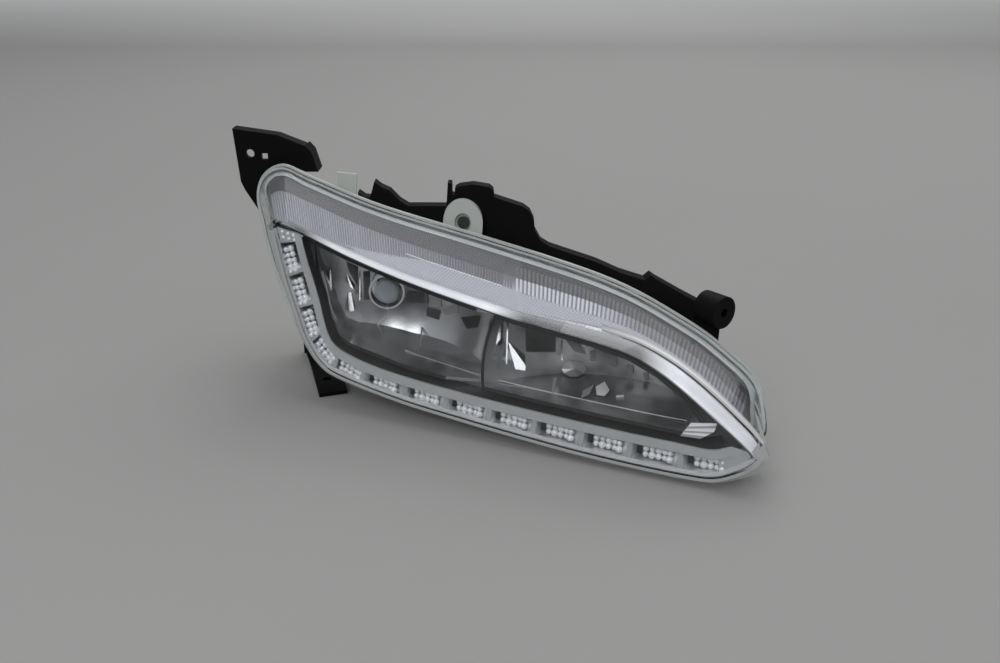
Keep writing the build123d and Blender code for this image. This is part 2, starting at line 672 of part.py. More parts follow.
with BuildPart() as main_reflector:
    extrude(polygon(face_plane(REFLECTOR_FRONT), APERTURE), amount=REFLECTOR_REACH, dir=BACK)
    add(bowls.part.moved(Location((0, REFLECTOR_WALL, 0))), mode=Mode.INTERSECT)
    for place in REFLECTOR_SCREWS:
        tab_plane = face_plane(BEZEL_BACK, place[0], place[1] - REFLECTOR_TAB / 4)
        extrude(box_face(tab_plane, REFLECTOR_TAB, REFLECTOR_TAB), amount=REFLECTOR_WALL, dir=BACK)
    add(reflector_space.part, mode=Mode.SUBTRACT)
    for place in REFLECTOR_SCREWS:
        hole = disc(face_plane(BOARD_BACK, *place), SCREW_RADIUS + SCREW_CLEARANCE)
        extrude(hole, amount=-4 * BEZEL_THICK, mode=Mode.SUBTRACT)
    extrude(disc(bulb_plane(REFLECTOR_WALL + 1), NECK_RADIUS + NECK_CLEARANCE), amount=12, mode=Mode.SUBTRACT)
    with BuildSketch(bulb_plane(REFLECTOR_WALL + 1)) as leg_holes:
        with PolarLocations(SHIELD_RADIUS - SHIELD_WALL / 2, SHIELD_LEGS, start_angle=30):
            Circle(SHIELD_LEG_RADIUS)
    extrude(leg_holes.sketch, amount=8, mode=Mode.SUBTRACT)
main_reflector.part.label = "main_reflector"
export_step(main_reflector.part, "parts/main_reflector.step")

with BuildPart() as reflector_screws:
    for place in REFLECTOR_SCREWS:
        seat = face_plane(BOARD_BACK, *place)
        extrude(disc(seat, SCREW_HEAD), amount=SCREW_HEAD_HEIGHT)
        extrude(disc(seat, SCREW_RADIUS), amount=-((TAB_BACK - BOARD_BACK) * NORMAL_SHARE + REFLECTOR_GRIP))
reflector_screws.part.label = "reflector_screws"
export_step(reflector_screws.part, "parts/reflector_screws.step")

front_run = grown(FACE, -TRIM_DROP)
back_run = grown(RIM, -TRIM_SEAT)

front_left = Spline(*front_run[RIDGE_JOINT : RIDGE_LEFT + 1])
front_right = Spline(*front_run[RIDGE_RIGHT : RIDGE_JOINT + 1])
back_left = Spline(*back_run[RIDGE_JOINT : RIDGE_LEFT + 1])
back_right = Spline(*back_run[RIDGE_RIGHT : RIDGE_JOINT + 1])


def trim_section(depth, line, start, stop):
    """Closed section of a trim: its upper edge, and the same edge lower down."""
    upper = stretch(line, start, stop)
    lower = [(p[0], p[1] - TRIM_THICK) for p in upper]
    return polygon(face_plane(depth), upper + list(reversed(lower)))


with BuildPart() as fluted_trim_left:
    front = trim_section(TRIM_FRONT, front_left, TRIM_GAP / 2, front_left.length)
    back = trim_section(SEAT_DEPTH, back_left, TRIM_GAP / 2, back_left.length)
    loft([front, back], ruled=True)
fluted_trim_left.part.label = "fluted_trim_left"
export_step(fluted_trim_left.part, "parts/fluted_trim_left.step")

with BuildPart() as fluted_trim_right:
    front = trim_section(TRIM_FRONT, front_right, 0.0, front_right.length - TRIM_GAP / 2)
    back = trim_section(SEAT_DEPTH, back_right, 0.0, back_right.length - TRIM_GAP / 2)
    loft([front, back], ruled=True)
fluted_trim_right.part.label = "fluted_trim_right"
export_step(fluted_trim_right.part, "parts/fluted_trim_right.step")

with BuildPart() as bulb_shield:
    shield_front = bulb_plane(-CAPSULE_SET - CAPSULE_LENGTH)
    with BuildSketch(shield_front) as shield_ring:
        Circle(SHIELD_RADIUS)
        Circle(SHIELD_RADIUS - SHIELD_WALL, mode=Mode.SUBTRACT)
    extrude(shield_ring.sketch, amount=-SHIELD_LENGTH)
    with BuildSketch(shield_front) as shield_legs:
        with PolarLocations(SHIELD_RADIUS - SHIELD_WALL / 2, SHIELD_LEGS, start_angle=30):
            Circle(SHIELD_LEG_RADIUS)
    extrude(shield_legs.sketch, amount=-(CAPSULE_SET + CAPSULE_LENGTH + REFLECTOR_WALL / 2))
bulb_shield.part.label = "bulb_shield"
export_step(bulb_shield.part, "parts/bulb_shield.step")

with BuildPart() as bulb_capsule:
    with BuildSketch(Plane(origin=bulb, x_dir=(1, 0, 0), z_dir=(0, 0, 1))) as capsule_shape:
        with BuildLine():
            tip = -CAPSULE_SET - CAPSULE_LENGTH
            Line((0, -CAPSULE_SET), (CAPSULE_RADIUS, -CAPSULE_SET))
            Line((CAPSULE_RADIUS, -CAPSULE_SET), (CAPSULE_RADIUS, tip + CAPSULE_RADIUS))
            RadiusArc((CAPSULE_RADIUS, tip + CAPSULE_RADIUS), (0, tip), CAPSULE_RADIUS)
            Line((0, tip), (0, -CAPSULE_SET))
        make_face()
    revolve(capsule_shape.sketch, axis=Axis(bulb, BACK))
bulb_capsule.part.label = "bulb_capsule"
export_step(bulb_capsule.part, "parts/bulb_capsule.step")

collar_radius = PORT_BORE - 2 * SEAL_SECTION
collar_start = (PORT_START + PORT_END) / 2 - 3

with BuildPart() as bulb_holder:
    extrude(disc(bulb_plane(collar_start), NECK_RADIUS), amount=collar_start + CAPSULE_SET)
    extrude(disc(bulb_plane(PORT_END), collar_radius), amount=PORT_END - collar_start)
    extrude(disc(bulb_plane(PORT_END), HOLDER_FLANGE), amount=-HOLDER_FLANGE_THICK)
    holder_back = PORT_END + HOLDER_FLANGE_THICK
    extrude(box_face(bulb_plane(holder_back), SOCKET_WIDTH, SOCKET_HEIGHT), amount=-SOCKET_LENGTH)
    socket_end = holder_back + SOCKET_LENGTH
    socket = box_face(bulb_plane(socket_end), SOCKET_WIDTH - 2 * SOCKET_WALL, SOCKET_HEIGHT - 2 * SOCKET_WALL)
    extrude(socket, amount=SOCKET_DEPTH, mode=Mode.SUBTRACT)
bulb_holder.part.label = "bulb_holder"
export_step(bulb_holder.part, "parts/bulb_holder.step")

with BuildPart() as bulb_seal:
    seal_middle = (collar_start + PORT_END) / 2
    seal_offset = collar_radius + SEAL_SECTION
    with BuildSketch(Plane(origin=bulb, x_dir=(1, 0, 0), z_dir=(0, 0, 1))) as seal_shape:
        with Locations((seal_offset, seal_middle)):
            Circle(SEAL_SECTION)
    revolve(seal_shape.sketch, axis=Axis(bulb, BACK))
bulb_seal.part.label = "bulb_seal"
export_step(bulb_seal.part, "parts/bulb_seal.step")

with BuildPart() as bulb_terminals:
    with BuildSketch(bulb_plane(socket_end - SOCKET_DEPTH)) as blades:
        with GridLocations(BLADE_SPACING, 1, 2, 1):
            Rectangle(BLADE_THICK, BLADE_WIDTH)
    extrude(blades.sketch, amount=-BLADE_LENGTH)
bulb_terminals.part.label = "bulb_terminals"
export_step(bulb_terminals.part, "parts/bulb_terminals.step")

plug_seat = face_plane(BACK_DEPTH, *PLUG_SPOT)
plug_floor = PLUG_LENGTH + PLUG_SEAL - PLUG_DEPTH

with BuildPart() as connector_seal:
    ring = box_face(plug_seat, PLUG_WIDTH + 2 * PLUG_FLANGE, PLUG_HEIGHT + 2 * PLUG_FLANGE)
    extrude(ring, amount=-PLUG_SEAL)
    extrude(box_face(plug_seat, PLUG_WIDTH, PLUG_HEIGHT), amount=-PLUG_SEAL, mode=Mode.SUBTRACT)
connector_seal.part.label = "connector_seal"
export_step(connector_seal.part, "parts/connector_seal.step")

with BuildPart() as drl_connector:
    extrude(box_face(plug_seat.offset(-PLUG_SEAL), PLUG_WIDTH, PLUG_HEIGHT), amount=-PLUG_LENGTH)
    extrude(box_face(plug_seat.offset(-PLUG_SEAL), PLUG_WIDTH, PLUG_HEIGHT), amount=PLUG_SEAL + PLUG_INNER)
    cover_plane = plug_seat.offset(-PLUG_SEAL)
    cover = box_face(cover_plane, PLUG_WIDTH + 2 * PLUG_FLANGE, PLUG_HEIGHT + 2 * PLUG_FLANGE)
    extrude(cover, amount=-PLUG_FLANGE_THICK)
    mouth_plane = plug_seat.offset(-PLUG_SEAL - PLUG_LENGTH)
    mouth = box_face(mouth_plane, PLUG_WIDTH - 2 * PLUG_WALL, PLUG_HEIGHT - 2 * PLUG_WALL)
    extrude(mouth, amount=PLUG_DEPTH, mode=Mode.SUBTRACT)
drl_connector.part.label = "drl_connector"
export_step(drl_connector.part, "parts/drl_connector.step")

with BuildPart() as drl_terminals:
    with BuildSketch(plug_seat.offset(-plug_floor)) as pins:
        with GridLocations(PIN_SPACING, 1, PIN_COUNT, 1):
            Rectangle(PIN_SIZE, PIN_SIZE)
    extrude(pins.sketch, amount=-PIN_LENGTH)
drl_terminals.part.label = "drl_terminals"
export_step(drl_terminals.part, "parts/drl_terminals.step")

with BuildPart() as led_harness:
    for side in (-1, 1):
        shift = side * WIRE_SPACING / 2
        start = plug_seat.offset(PLUG_INNER).from_local_coords((shift, 0, 0))
        leave = plug_seat.offset(PLUG_INNER + 8).from_local_coords((shift, 0, 0))
        turn_point = spot(wire_along + shift + 8, wire_up + 4, 62)
        board_back = face_plane(BOARD_BACK, wire_along + shift, wire_up)
        approach = board_back.offset(-14).origin
        arrive = board_back.origin
        with BuildLine() as wire_path:
            FilletPolyline(start, leave, turn_point, approach, arrive, radius=WIRE_BEND)
        with BuildSketch(Plane(origin=start, z_dir=OUTWARD)) as wire_section:
            Circle(WIRE_RADIUS)
        sweep(wire_section.sketch, path=wire_path.line)
led_harness.part.label = "led_harness"
export_step(led_harness.part, "parts/led_harness.step")

vent_seat = face_plane(BACK_DEPTH, *VENT_SPOT)

with BuildPart() as vent_membrane:
    extrude(disc(vent_seat, VENT_RADIUS - VENT_WALL), amount=-MEMBRANE_THICK)
vent_membrane.part.label = "vent_membrane"
export_step(vent_membrane.part, "parts/vent_membrane.step")

with BuildPart() as vent_cap:
    extrude(disc(vent_seat, VENT_RADIUS), amount=-VENT_HEIGHT)
    inside = disc(vent_seat, VENT_RADIUS - VENT_WALL)
    extrude(inside, amount=-(VENT_HEIGHT - VENT_WALL), mode=Mode.SUBTRACT)
    slot_plane = vent_seat.offset(-VENT_HEIGHT)
    extrude(box_face(slot_plane, 3 * VENT_RADIUS, VENT_WALL), amount=VENT_HEIGHT / 2, mode=Mode.SUBTRACT)
vent_cap.part.label = "vent_cap"
export_step(vent_cap.part, "parts/vent_cap.step")

beam_lower = [(p[0], p[1] - BEAM_DROP) for p in RIM[RIDGE_RIGHT + 1 : RIDGE_LEFT - 1]]

with BuildPart() as mounting_bracket:
    # Beam behind the top of the rim
    extrude(polygon(face_plane(BEAM_FRONT), BEAM_UPPER + beam_lower), amount=BEAM_THICK, dir=BACK)
    # Bridge that carries the beam over the housing to the spine
    bridge = [
        (TOWER_LEFT, BRIDGE_LOW),
        (TOWER_RIGHT, BRIDGE_LOW),
        (TOWER_RIGHT, BRIDGE_TOP),
        (TOWER_LEFT, BRIDGE_TOP),
    ]
    extrude(polygon(face_plane(BEAM_FRONT), bridge), amount=BRIDGE_BACK - BEAM_FRONT, dir=BACK)
    drop = [
        (TOWER_LEFT, SPINE_LOW),
        (TOWER_RIGHT, SPINE_LOW),
        (TOWER_RIGHT, BRIDGE_TOP),
        (TOWER_LEFT, BRIDGE_TOP),
    ]
    extrude(polygon(face_plane(SPINE_FRONT), drop), amount=SPINE_THICK, dir=BACK)
    spine = [
        (SPINE_LEFT, SPINE_LOW),
        (TOWER_RIGHT, SPINE_LOW),
        (TOWER_RIGHT, SPINE_HIGH),
        (SPINE_LEFT, SPINE_HIGH),
    ]
    extrude(polygon(face_plane(SPINE_FRONT), spine), amount=SPINE_THICK, dir=BACK)
    # Upper plate and the leg below it
    plate = [
        (-10.9, PLATE_TOP),
        (20.0, 13.0),
        (39.0, 5.3),
        (43.0, 1.0),
        (47.0, -13.0),
        (38.0, -13.0),
        (29.0, -9.0),
        (20.0, -9.0),
        (11.0, -20.0),
        (11.0, -40.0),
        (20.0, -70.0),
        (48.0, -130.0),
        (48.0, FOOT_LOW),
        (27.0, FOOT_LOW),
        (27.0, -130.0),
        (10.0, -70.0),
        (2.0, -40.0),
        (-6.0, -26.0),
        (-8.4, -20.0),
    ]
    extrude(polygon(front_plane(0, 0, 0), plate), amount=-PLATE_THICK)
    # Wall that joins the plate to the spine, and the wall at the plate's right end
    spine_end = spot(SPINE_LEFT, (SPINE_LOW + SPINE_HIGH) / 2, SPINE_FRONT)
    wall = [
        (7.0, PLATE_THICK / 2),
        (11.0, PLATE_THICK / 2),
        (spine_end.X + 8.6, spine_end.Y - 7.4),
        (spine_end.X + 8.6, spine_end.Y + 1.6),
        (spine_end.X + 3.6, spine_end.Y - 1.4),
        (7.0, PLATE_THICK + 3.0),
    ]
    wall_low = spine_end.Z - WALL_HEIGHT / 2
    wall_plane = Plane(origin=(0, 0, wall_low), x_dir=(1, 0, 0), z_dir=(0, 0, 1))
    extrude(polygon(wall_plane, wall), amount=WALL_HEIGHT)
    lip = [(39.0, 5.3), (43.0, 1.0), (47.0, -13.0), (44.0, -13.0), (40.0, -1.0), (37.0, 2.5)]
    extrude(polygon(front_plane(0, 0, 0), lip), amount=-18.0)
    top_lip = [(-10.9, PLATE_TOP), (20.0, 13.0), (39.0, 5.3), (37.5, 2.7), (19.5, 10.0), (-10.7, 14.5)]
    extrude(polygon(front_plane(0, 0, 0), top_lip), amount=-12.0)
    # Foot on the ground, turned as the lamp's corner is
    foot = [
        (51.4, -77.4),
        (69.7, -71.0),
        (49.0, PLATE_THICK),
        (27.0, PLATE_THICK),
        (35.6, -22.7),
    ]
    foot_plane = Plane(origin=(0, 0, FOOT_LOW), x_dir=(1, 0, 0), z_dir=(0, 0, 1))
    extrude(polygon(foot_plane, foot), amount=FOOT_THICK)
    # End boss
    boss_turn = radians(BOSS_TURN)
    boss_axis = Vector(sin(boss_turn), -cos(boss_turn), 0)
    boss_point = Vector(FACE_X, FACE_Y, FACE_Z) + Vector(*BOSS_OFFSET)
    boss_plane = Plane(origin=boss_point, x_dir=(cos(boss_turn), sin(boss_turn), 0), z_dir=boss_axis)
    extrude(disc(boss_plane, BOSS_RADIUS), amount=-BOSS_LENGTH)
    extrude(disc(boss_plane, BOSS_BORE), amount=-BOSS_BORE_DEPTH, mode=Mode.SUBTRACT)
    # Channel under the bridge
    channel = [
        (TOWER_LEFT + BEAM_WALL, BRIDGE_LOW - BEAM_WALL),
        (TOWER_RIGHT - BEAM_WALL, BRIDGE_LOW - BEAM_WALL),
        (TOWER_RIGHT - BEAM_WALL, BRIDGE_TOP - BEAM_WALL),
        (TOWER_LEFT + BEAM_WALL, BRIDGE_TOP - BEAM_WALL),
    ]
    channel_front = BEAM_FRONT + BEAM_THICK
    under = polygon(face_plane(channel_front), channel)
    extrude(under, amount=SPINE_FRONT - channel_front, dir=BACK, mode=Mode.SUBTRACT)
    # Holes
    extrude(disc(front_plane(0, 0, 0), PLATE_HOLE), amount=-THROUGH, mode=Mode.SUBTRACT)
    square = box_face(front_plane(SQUARE_SPOT[0], 0, SQUARE_SPOT[1]), SQUARE_HOLE, SQUARE_HOLE)
    extrude(square, amount=-THROUGH, mode=Mode.SUBTRACT)
    hole_plane = Plane(origin=(FOOT_HOLE_SPOT[0], FOOT_HOLE_SPOT[1], FOOT_LOW), z_dir=(0, 0, 1))
    extrude(disc(hole_plane, FOOT_HOLE), amount=FOOT_THICK, mode=Mode.SUBTRACT)
    for place in SPINE_SCREWS:
        hole = disc(face_plane(SPINE_FRONT, *place), SCREW_RADIUS + SCREW_CLEARANCE)
        extrude(hole, amount=2 * SPINE_THICK, both=True, mode=Mode.SUBTRACT)
    ear_hole = disc(face_plane(EAR_FRONT, *EAR_SPOT), SCREW_RADIUS)
    extrude(ear_hole, amount=-(EAR_THICK * NORMAL_SHARE + BRACKET_GRIP), mode=Mode.SUBTRACT)
mounting_bracket.part.label = "mounting_bracket"
export_step(mounting_bracket.part, "parts/mounting_bracket.step")

with BuildPart() as bracket_screws:
    ear_seat = face_plane(EAR_FRONT, *EAR_SPOT).offset(-EAR_RECESS_DEPTH)
    extrude(disc(ear_seat, SCREW_HEAD), amount=SCREW_HEAD_HEIGHT)
    ear_reach = EAR_THICK * NORMAL_SHARE - EAR_RECESS_DEPTH + BRACKET_GRIP
    extrude(disc(ear_seat, SCREW_RADIUS), amount=-ear_reach)
    for place in SPINE_SCREWS:
        seat = face_plane(SPINE_FRONT, *place).offset(-SPINE_THICK * NORMAL_SHARE)
        extrude(disc(seat, SCREW_HEAD), amount=-SCREW_HEAD_HEIGHT)
        extrude(disc(seat, SCREW_RADIUS), amount=SPINE_THICK * NORMAL_SHARE + BRACKET_GRIP)
bracket_screws.part.label = "bracket_screws"
export_step(bracket_screws.part, "parts/bracket_screws.step")
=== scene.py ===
from math import cos, hypot, pi, radians, sin, sqrt

import bmesh
import bpy
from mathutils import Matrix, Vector


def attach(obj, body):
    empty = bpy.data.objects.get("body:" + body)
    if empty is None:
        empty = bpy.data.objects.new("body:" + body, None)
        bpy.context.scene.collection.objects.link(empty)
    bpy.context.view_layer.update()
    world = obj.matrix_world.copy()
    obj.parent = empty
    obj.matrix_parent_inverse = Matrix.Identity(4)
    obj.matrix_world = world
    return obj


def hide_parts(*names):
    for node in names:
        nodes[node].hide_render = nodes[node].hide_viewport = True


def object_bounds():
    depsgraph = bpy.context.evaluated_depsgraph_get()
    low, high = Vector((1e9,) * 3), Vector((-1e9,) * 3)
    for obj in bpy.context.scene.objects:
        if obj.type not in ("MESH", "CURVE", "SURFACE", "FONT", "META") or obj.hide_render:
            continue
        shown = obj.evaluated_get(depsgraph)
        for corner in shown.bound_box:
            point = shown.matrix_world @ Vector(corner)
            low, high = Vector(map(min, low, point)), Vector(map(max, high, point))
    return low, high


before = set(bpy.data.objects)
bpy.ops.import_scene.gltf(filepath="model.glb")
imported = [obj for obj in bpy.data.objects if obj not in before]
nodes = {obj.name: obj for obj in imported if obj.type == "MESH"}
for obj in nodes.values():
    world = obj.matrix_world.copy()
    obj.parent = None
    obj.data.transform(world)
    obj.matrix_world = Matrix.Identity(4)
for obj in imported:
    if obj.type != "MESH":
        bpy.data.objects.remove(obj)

cad_low, cad_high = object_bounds()
MM = 0.001

# Lamp face, as in the part's source, in millimetres and degrees
FACE_PLACE = (175.6, -146.2, -147.5)
SWEEP = radians(24.0)
RAKE = radians(10.0)
ALONG = Vector((cos(SWEEP), -sin(SWEEP), 0.0))
OUTWARD = Vector((-sin(SWEEP) * cos(RAKE), -cos(SWEEP) * cos(RAKE), sin(RAKE)))
UPWARD = OUTWARD.cross(ALONG)

# Camera: where it stands, how far it looks down, and its lens
EYE = (175.6, -698.0, 148.5)
LOOK_DOWN = radians(22.1)
FOCAL_LENGTH = 36.0
SENSOR_WIDTH = 36.0


def spot(along, up, depth):
    """Point of the lamp in metres: along and up the face, then straight back by depth."""
    place = Vector(FACE_PLACE) + ALONG * along + UPWARD * up
    return (place + Vector((0.0, depth, 0.0))) * MM


# Camera first, so that nothing below depends on it
camera_data = bpy.data.cameras.new("camera")
camera_data.lens = FOCAL_LENGTH
camera_data.sensor_width = SENSOR_WIDTH
camera_data.clip_start = 0.01
camera = bpy.data.objects.new("camera", camera_data)
camera.location = Vector(EYE) * MM
camera.rotation_euler = (pi / 2 - LOOK_DOWN, 0.0, 0.0)
bpy.context.scene.collection.objects.link(camera)
bpy.context.scene.camera = camera
bpy.context.scene.view_settings.view_transform = "Standard"


class Signal:
    """A node's output. Arithmetic on it adds Math nodes to its graph."""

    def __init__(self, graph, socket):
        self.graph = graph
        self.socket = socket

    def maths(self, operation, first, second):
        """Adds a Math node for two values."""
        return self.graph.node("ShaderNodeMath", {"operation": operation}, {0: first, 1: second})

    def __add__(self, other):
        return self.maths("ADD", self, other)

    def __sub__(self, other):
        return self.maths("SUBTRACT", self, other)

    def __mul__(self, other):
        return self.maths("MULTIPLY", self, other)


class Graph:
    """A node tree, built node by node."""

    def node(self, kind, settings, values, output=0):
        """Adds a node, sets it up, fills its sockets and returns one output as a Signal."""
        made = self.tree.nodes.new(kind)
        for key, value in settings.items():
            setattr(made, key, value)
        for key, value in values.items():
            if isinstance(value, Signal):
                self.tree.links.new(value.socket, made.inputs[key])
            else:
                made.inputs[key].default_value = value
        return Signal(self, made.outputs[output]) if made.outputs else None


class Finish(Graph):
    """One material."""

    def __init__(self, name):
        self.material = bpy.data.materials.new(name)
        self.material.use_nodes = True
        self.tree = self.material.node_tree
        self.tree.nodes.clear()
        self.place = self.node("ShaderNodeTexCoord", {}, {}, "Object")

    def noise(self, scale, detail=3.0):
        """Even noise over the piece, from 0 to 1; scale is in features per metre."""
        return self.node("ShaderNodeTexNoise", {}, {"Vector": self.place, "Scale": scale, "Detail": detail})

    def between(self, mask, low, high):
        """Value that runs from low to high as the mask runs from 0 to 1."""
        return mask * (high - low) + low

    def blend(self, mask, first, second):
        """Colour that runs from first to second as the mask runs from 0 to 1."""
        colours = {0: mask}
        for socket, colour in ((6, first), (7, second)):
            colours[socket] = colour if isinstance(colour, Signal) else (*colour, 1.0)
        return self.node("ShaderNodeMix", {"data_type": "RGBA"}, colours, 2)

    def along(self, direction, start):
        """Distance in metres from a point along a direction."""
        offset = self.node("ShaderNodeVectorMath", {"operation": "SUBTRACT"}, {0: self.place, 1: start})
        dot = {"operation": "DOT_PRODUCT"}
        return self.node("ShaderNodeVectorMath", dot, {0: offset, 1: direction}, "Value")

    def depth(self):
        """Depth behind the lamp face in millimetres."""
        return self.along(OUTWARD, spot(0.0, 0.0, 0.0)) * (1.0 / (OUTWARD.y * MM))

    def step(self, value, start, stop):
        """0 below start, 1 above stop and a straight slope between them."""
        sizes = {"Value": value, "From Min": start, "From Max": stop}
        return self.node("ShaderNodeMapRange", {}, sizes)

    def mark(self, name):
        """Value that the piece's mesh carries under a name."""
        return self.node("ShaderNodeAttribute", {"attribute_name": name}, {}, "Fac")

    def bump(self, height, strength, distance):
        """Normal that follows a height."""
        values = {"Height": height, "Strength": strength, "Distance": distance}
        return self.node("ShaderNodeBump", {}, values)

    def surface(self, values):
        """Principled surface with these sockets."""
        plain = {k: (*v, 1.0) if isinstance(v, tuple) and len(v) == 3 else v for k, v in values.items()}
        return self.node("ShaderNodeBsdfPrincipled", {}, plain)

    def done(self, shader):
        """Ends the material in its shader."""
        self.node("ShaderNodeOutputMaterial", {}, {"Surface": shader})
        return self.material


# Scales of the slow unevenness in the finishes, in features per metre, and the height of a mould's grain
MOULD_CLOUDS = 38.0
COAT_CLOUDS = 60.0
CLEAR_CLOUDS = 30.0
WALL_CLOUDS = 24.0
SHADE_CLOUDS = 90.0
GRAIN_HEIGHT = 0.0002

# Coats that end at a depth: slope of their edge in millimetres, and how metallic the walls behind it are
COAT_EDGE = 0.2
WALL_METAL = 0.88


def moulded(name, colour, worn, rough, grain_size=0.0004, grain=0.08, metal=0.0, gloss=0.5):
    """Moulded or painted surface: slow change of colour and gloss, and a fine grain."""
    finish = Finish(name)
    slow = finish.noise(MOULD_CLOUDS)
    fine = finish.noise(1.0 / grain_size, 2.0)
    values = {
        "Base Color": finish.blend(slow, colour, worn),
        "Roughness": finish.between(slow, rough - 0.06, rough + 0.08),
        "Metallic": metal,
        "Specular IOR Level": gloss,
        "Normal": finish.bump(fine, grain, GRAIN_HEIGHT),
    }
    return finish.done(finish.surface(values))


def coated(name, colour, dim, rough, metal=1.0):
    """Bright metal coat on plastic, with a faint unevenness."""
    finish = Finish(name)
    slow = finish.noise(COAT_CLOUDS, 2.0)
    values = {
        "Base Color": finish.blend(slow, colour, dim),
        "Roughness": finish.between(slow, rough, rough + 0.06),
        "Metallic": metal,
    }
    return finish.done(finish.surface(values))


def clear(name, tint, rough=0.0, ior=1.42):
    """Clear plastic or glass that lets the lamps' light through."""
    finish = Finish(name)
    slow = finish.noise(CLEAR_CLOUDS, 2.0)
    values = {
        "Base Color": tint,
        "Roughness": finish.between(slow, rough, rough + 0.015),
        "IOR": ior,
        "Transmission Weight": 1.0,
    }
    body = finish.surface(values)
    shadow_ray = finish.node("ShaderNodeLightPath", {}, {}, "Is Shadow Ray")
    through = finish.node("ShaderNodeBsdfTransparent", {}, {"Color": (*tint, 1.0)})
    return finish.done(finish.node("ShaderNodeMixShader", {}, {0: shadow_ray, 1: body, 2: through}))


def edged(name, colour, dim, rough, limit, walls, cloud, metal=1.0):
    """Coat that ends at a depth: the walls behind that depth run from one colour to a cloudy other one."""
    finish = Finish(name)
    slow = finish.noise(COAT_CLOUDS, 2.0)
    behind = finish.step(finish.depth(), limit, limit + COAT_EDGE)
    patches = finish.step(finish.noise(WALL_CLOUDS, 2.0), 0.42, 0.62)
    front = finish.blend(slow, colour, dim)
    back = finish.blend(patches, walls, cloud)
    values = {
        "Base Color": finish.blend(behind, front, back),
        "Roughness": finish.between(slow, rough, rough + 0.08),
        "Metallic": finish.between(behind, metal, WALL_METAL),
    }
    return finish.done(finish.surface(values))


def shaded(name, dark, light, rough, metal):
    """Coat whose brightness follows the shade that the mesh carries, with a faint unevenness."""
    finish = Finish(name)
    shade = finish.mark("shade")
    slow = finish.noise(SHADE_CLOUDS, 2.0)
    values = {
        "Base Color": finish.blend(shade * finish.between(slow, 0.92, 1.04), dark, light),
        "Roughness": finish.between(slow, rough - 0.03, rough + 0.05),
        "Metallic": metal,
    }
    return finish.done(finish.surface(values))


def grey(level):
    """Neutral colour."""
    return (level, level, level)


SILVER = (0.44, 0.45, 0.44)
SILVER_DIM = (0.49, 0.50, 0.49)
lens_clear = clear("lens_clear", (0.97, 0.98, 1.0))
bulb_glass = clear("bulb_glass", (0.86, 0.90, 0.93), 0.05, 1.5)
seal_rubber = moulded("seal_rubber", (0.20, 0.21, 0.21), (0.24, 0.25, 0.25), 0.7)
housing_grey = moulded("housing_grey", (0.62, 0.65, 0.62), (0.54, 0.57, 0.55), 0.42)
bracket_black = moulded("bracket_black", grey(0.004), (0.007, 0.007, 0.008), 0.50, 0.0005, 0.2, gloss=0.08)
bezel_dark = moulded("bezel_dark", (0.10, 0.10, 0.11), (0.13, 0.13, 0.14), 0.35)
strip_silver = edged("strip_silver", SILVER, SILVER_DIM, 0.36, 6.3, grey(0.10), grey(0.06), 0.15)
# Reflector panels: painted highlights, painted reflections and painted dark reflections
panel_painted_highlight = coated("panel_painted_highlight", grey(1.0), grey(0.95), 0.22, 0.0)
facet_mirror = coated("facet_mirror", grey(0.40), grey(0.32), 0.16)
panel_painted_reflection = coated("panel_painted_reflection", (0.50, 0.50, 0.49), (0.42, 0.42, 0.41), 0.28, 0.4)
panel_painted_dark = coated("panel_painted_dark", grey(0.10), grey(0.14), 0.20)
rim_chrome = edged("rim_chrome", grey(0.05), grey(0.07), 0.16, 12.4, (0.80, 0.81, 0.81), grey(0.24))
flute_chrome = shaded("flute_chrome", (0.004, 0.004, 0.005), (0.76, 0.76, 0.84), 0.40, 0.3)
cell_chrome = coated("cell_chrome", grey(1.0), (0.92, 0.93, 0.94), 0.08, 0.3)
cell_frame = edged(
    "cell_frame", SILVER, SILVER_DIM, 0.30, 6.4, (0.92, 0.93, 0.94), (0.70, 0.70, 0.71), 0.15
)
# Painted shade in the cells: dark plates beside the light sources, darker seats under the domes
cell_painted_shade = coated("cell_painted_shade", grey(0.06), grey(0.02), 0.14)
seat_chrome_painted_shade = coated("seat_chrome_painted_shade", (0.42, 0.42, 0.43), (0.30, 0.30, 0.31), 0.12)
liner_grey = moulded("liner_grey", (0.46, 0.47, 0.47), (0.52, 0.53, 0.53), 0.3)
bulb_tip = moulded("bulb_tip", (0.33, 0.37, 0.39), (0.38, 0.42, 0.44), 0.3, metal=0.2)
line_white = coated("line_white", (0.92, 0.92, 0.94), (0.84, 0.84, 0.86), 0.25, 0.3)
# Satin whose shades paint highlights, on the ridge behind the lens's edge and on the lens's bend
painted_highlight_satin = shaded("painted_highlight_satin", grey(0.02), (0.97, 0.97, 0.99), 0.30, 0.3)
# Light grey skin that paints the highlight on the lens's lower edge
edge_painted_highlight = moulded("edge_painted_highlight", (0.50, 0.51, 0.51), (0.58, 0.59, 0.59), 0.22, 0.0006, 0.03)
ring_chrome = coated("ring_chrome", (0.82, 0.83, 0.84), (0.76, 0.77, 0.78), 0.06)
board_green = moulded("board_green", (0.02, 0.10, 0.05), (0.03, 0.13, 0.07), 0.4)
led_yellow = moulded("led_yellow", (0.30, 0.28, 0.16), (0.24, 0.22, 0.13), 0.3)
zinc_steel = coated("zinc_steel", (0.14, 0.14, 0.13), (0.09, 0.09, 0.08), 0.30)
socket_black = moulded("socket_black", grey(0.02), grey(0.035), 0.5)
tinned_brass = coated("tinned_brass", (0.72, 0.58, 0.30), (0.66, 0.53, 0.28), 0.25)
wire_black = moulded("wire_black", grey(0.02), grey(0.03), 0.5)
membrane_white = moulded("membrane_white", (0.75, 0.75, 0.72), (0.68, 0.68, 0.66), 0.8)

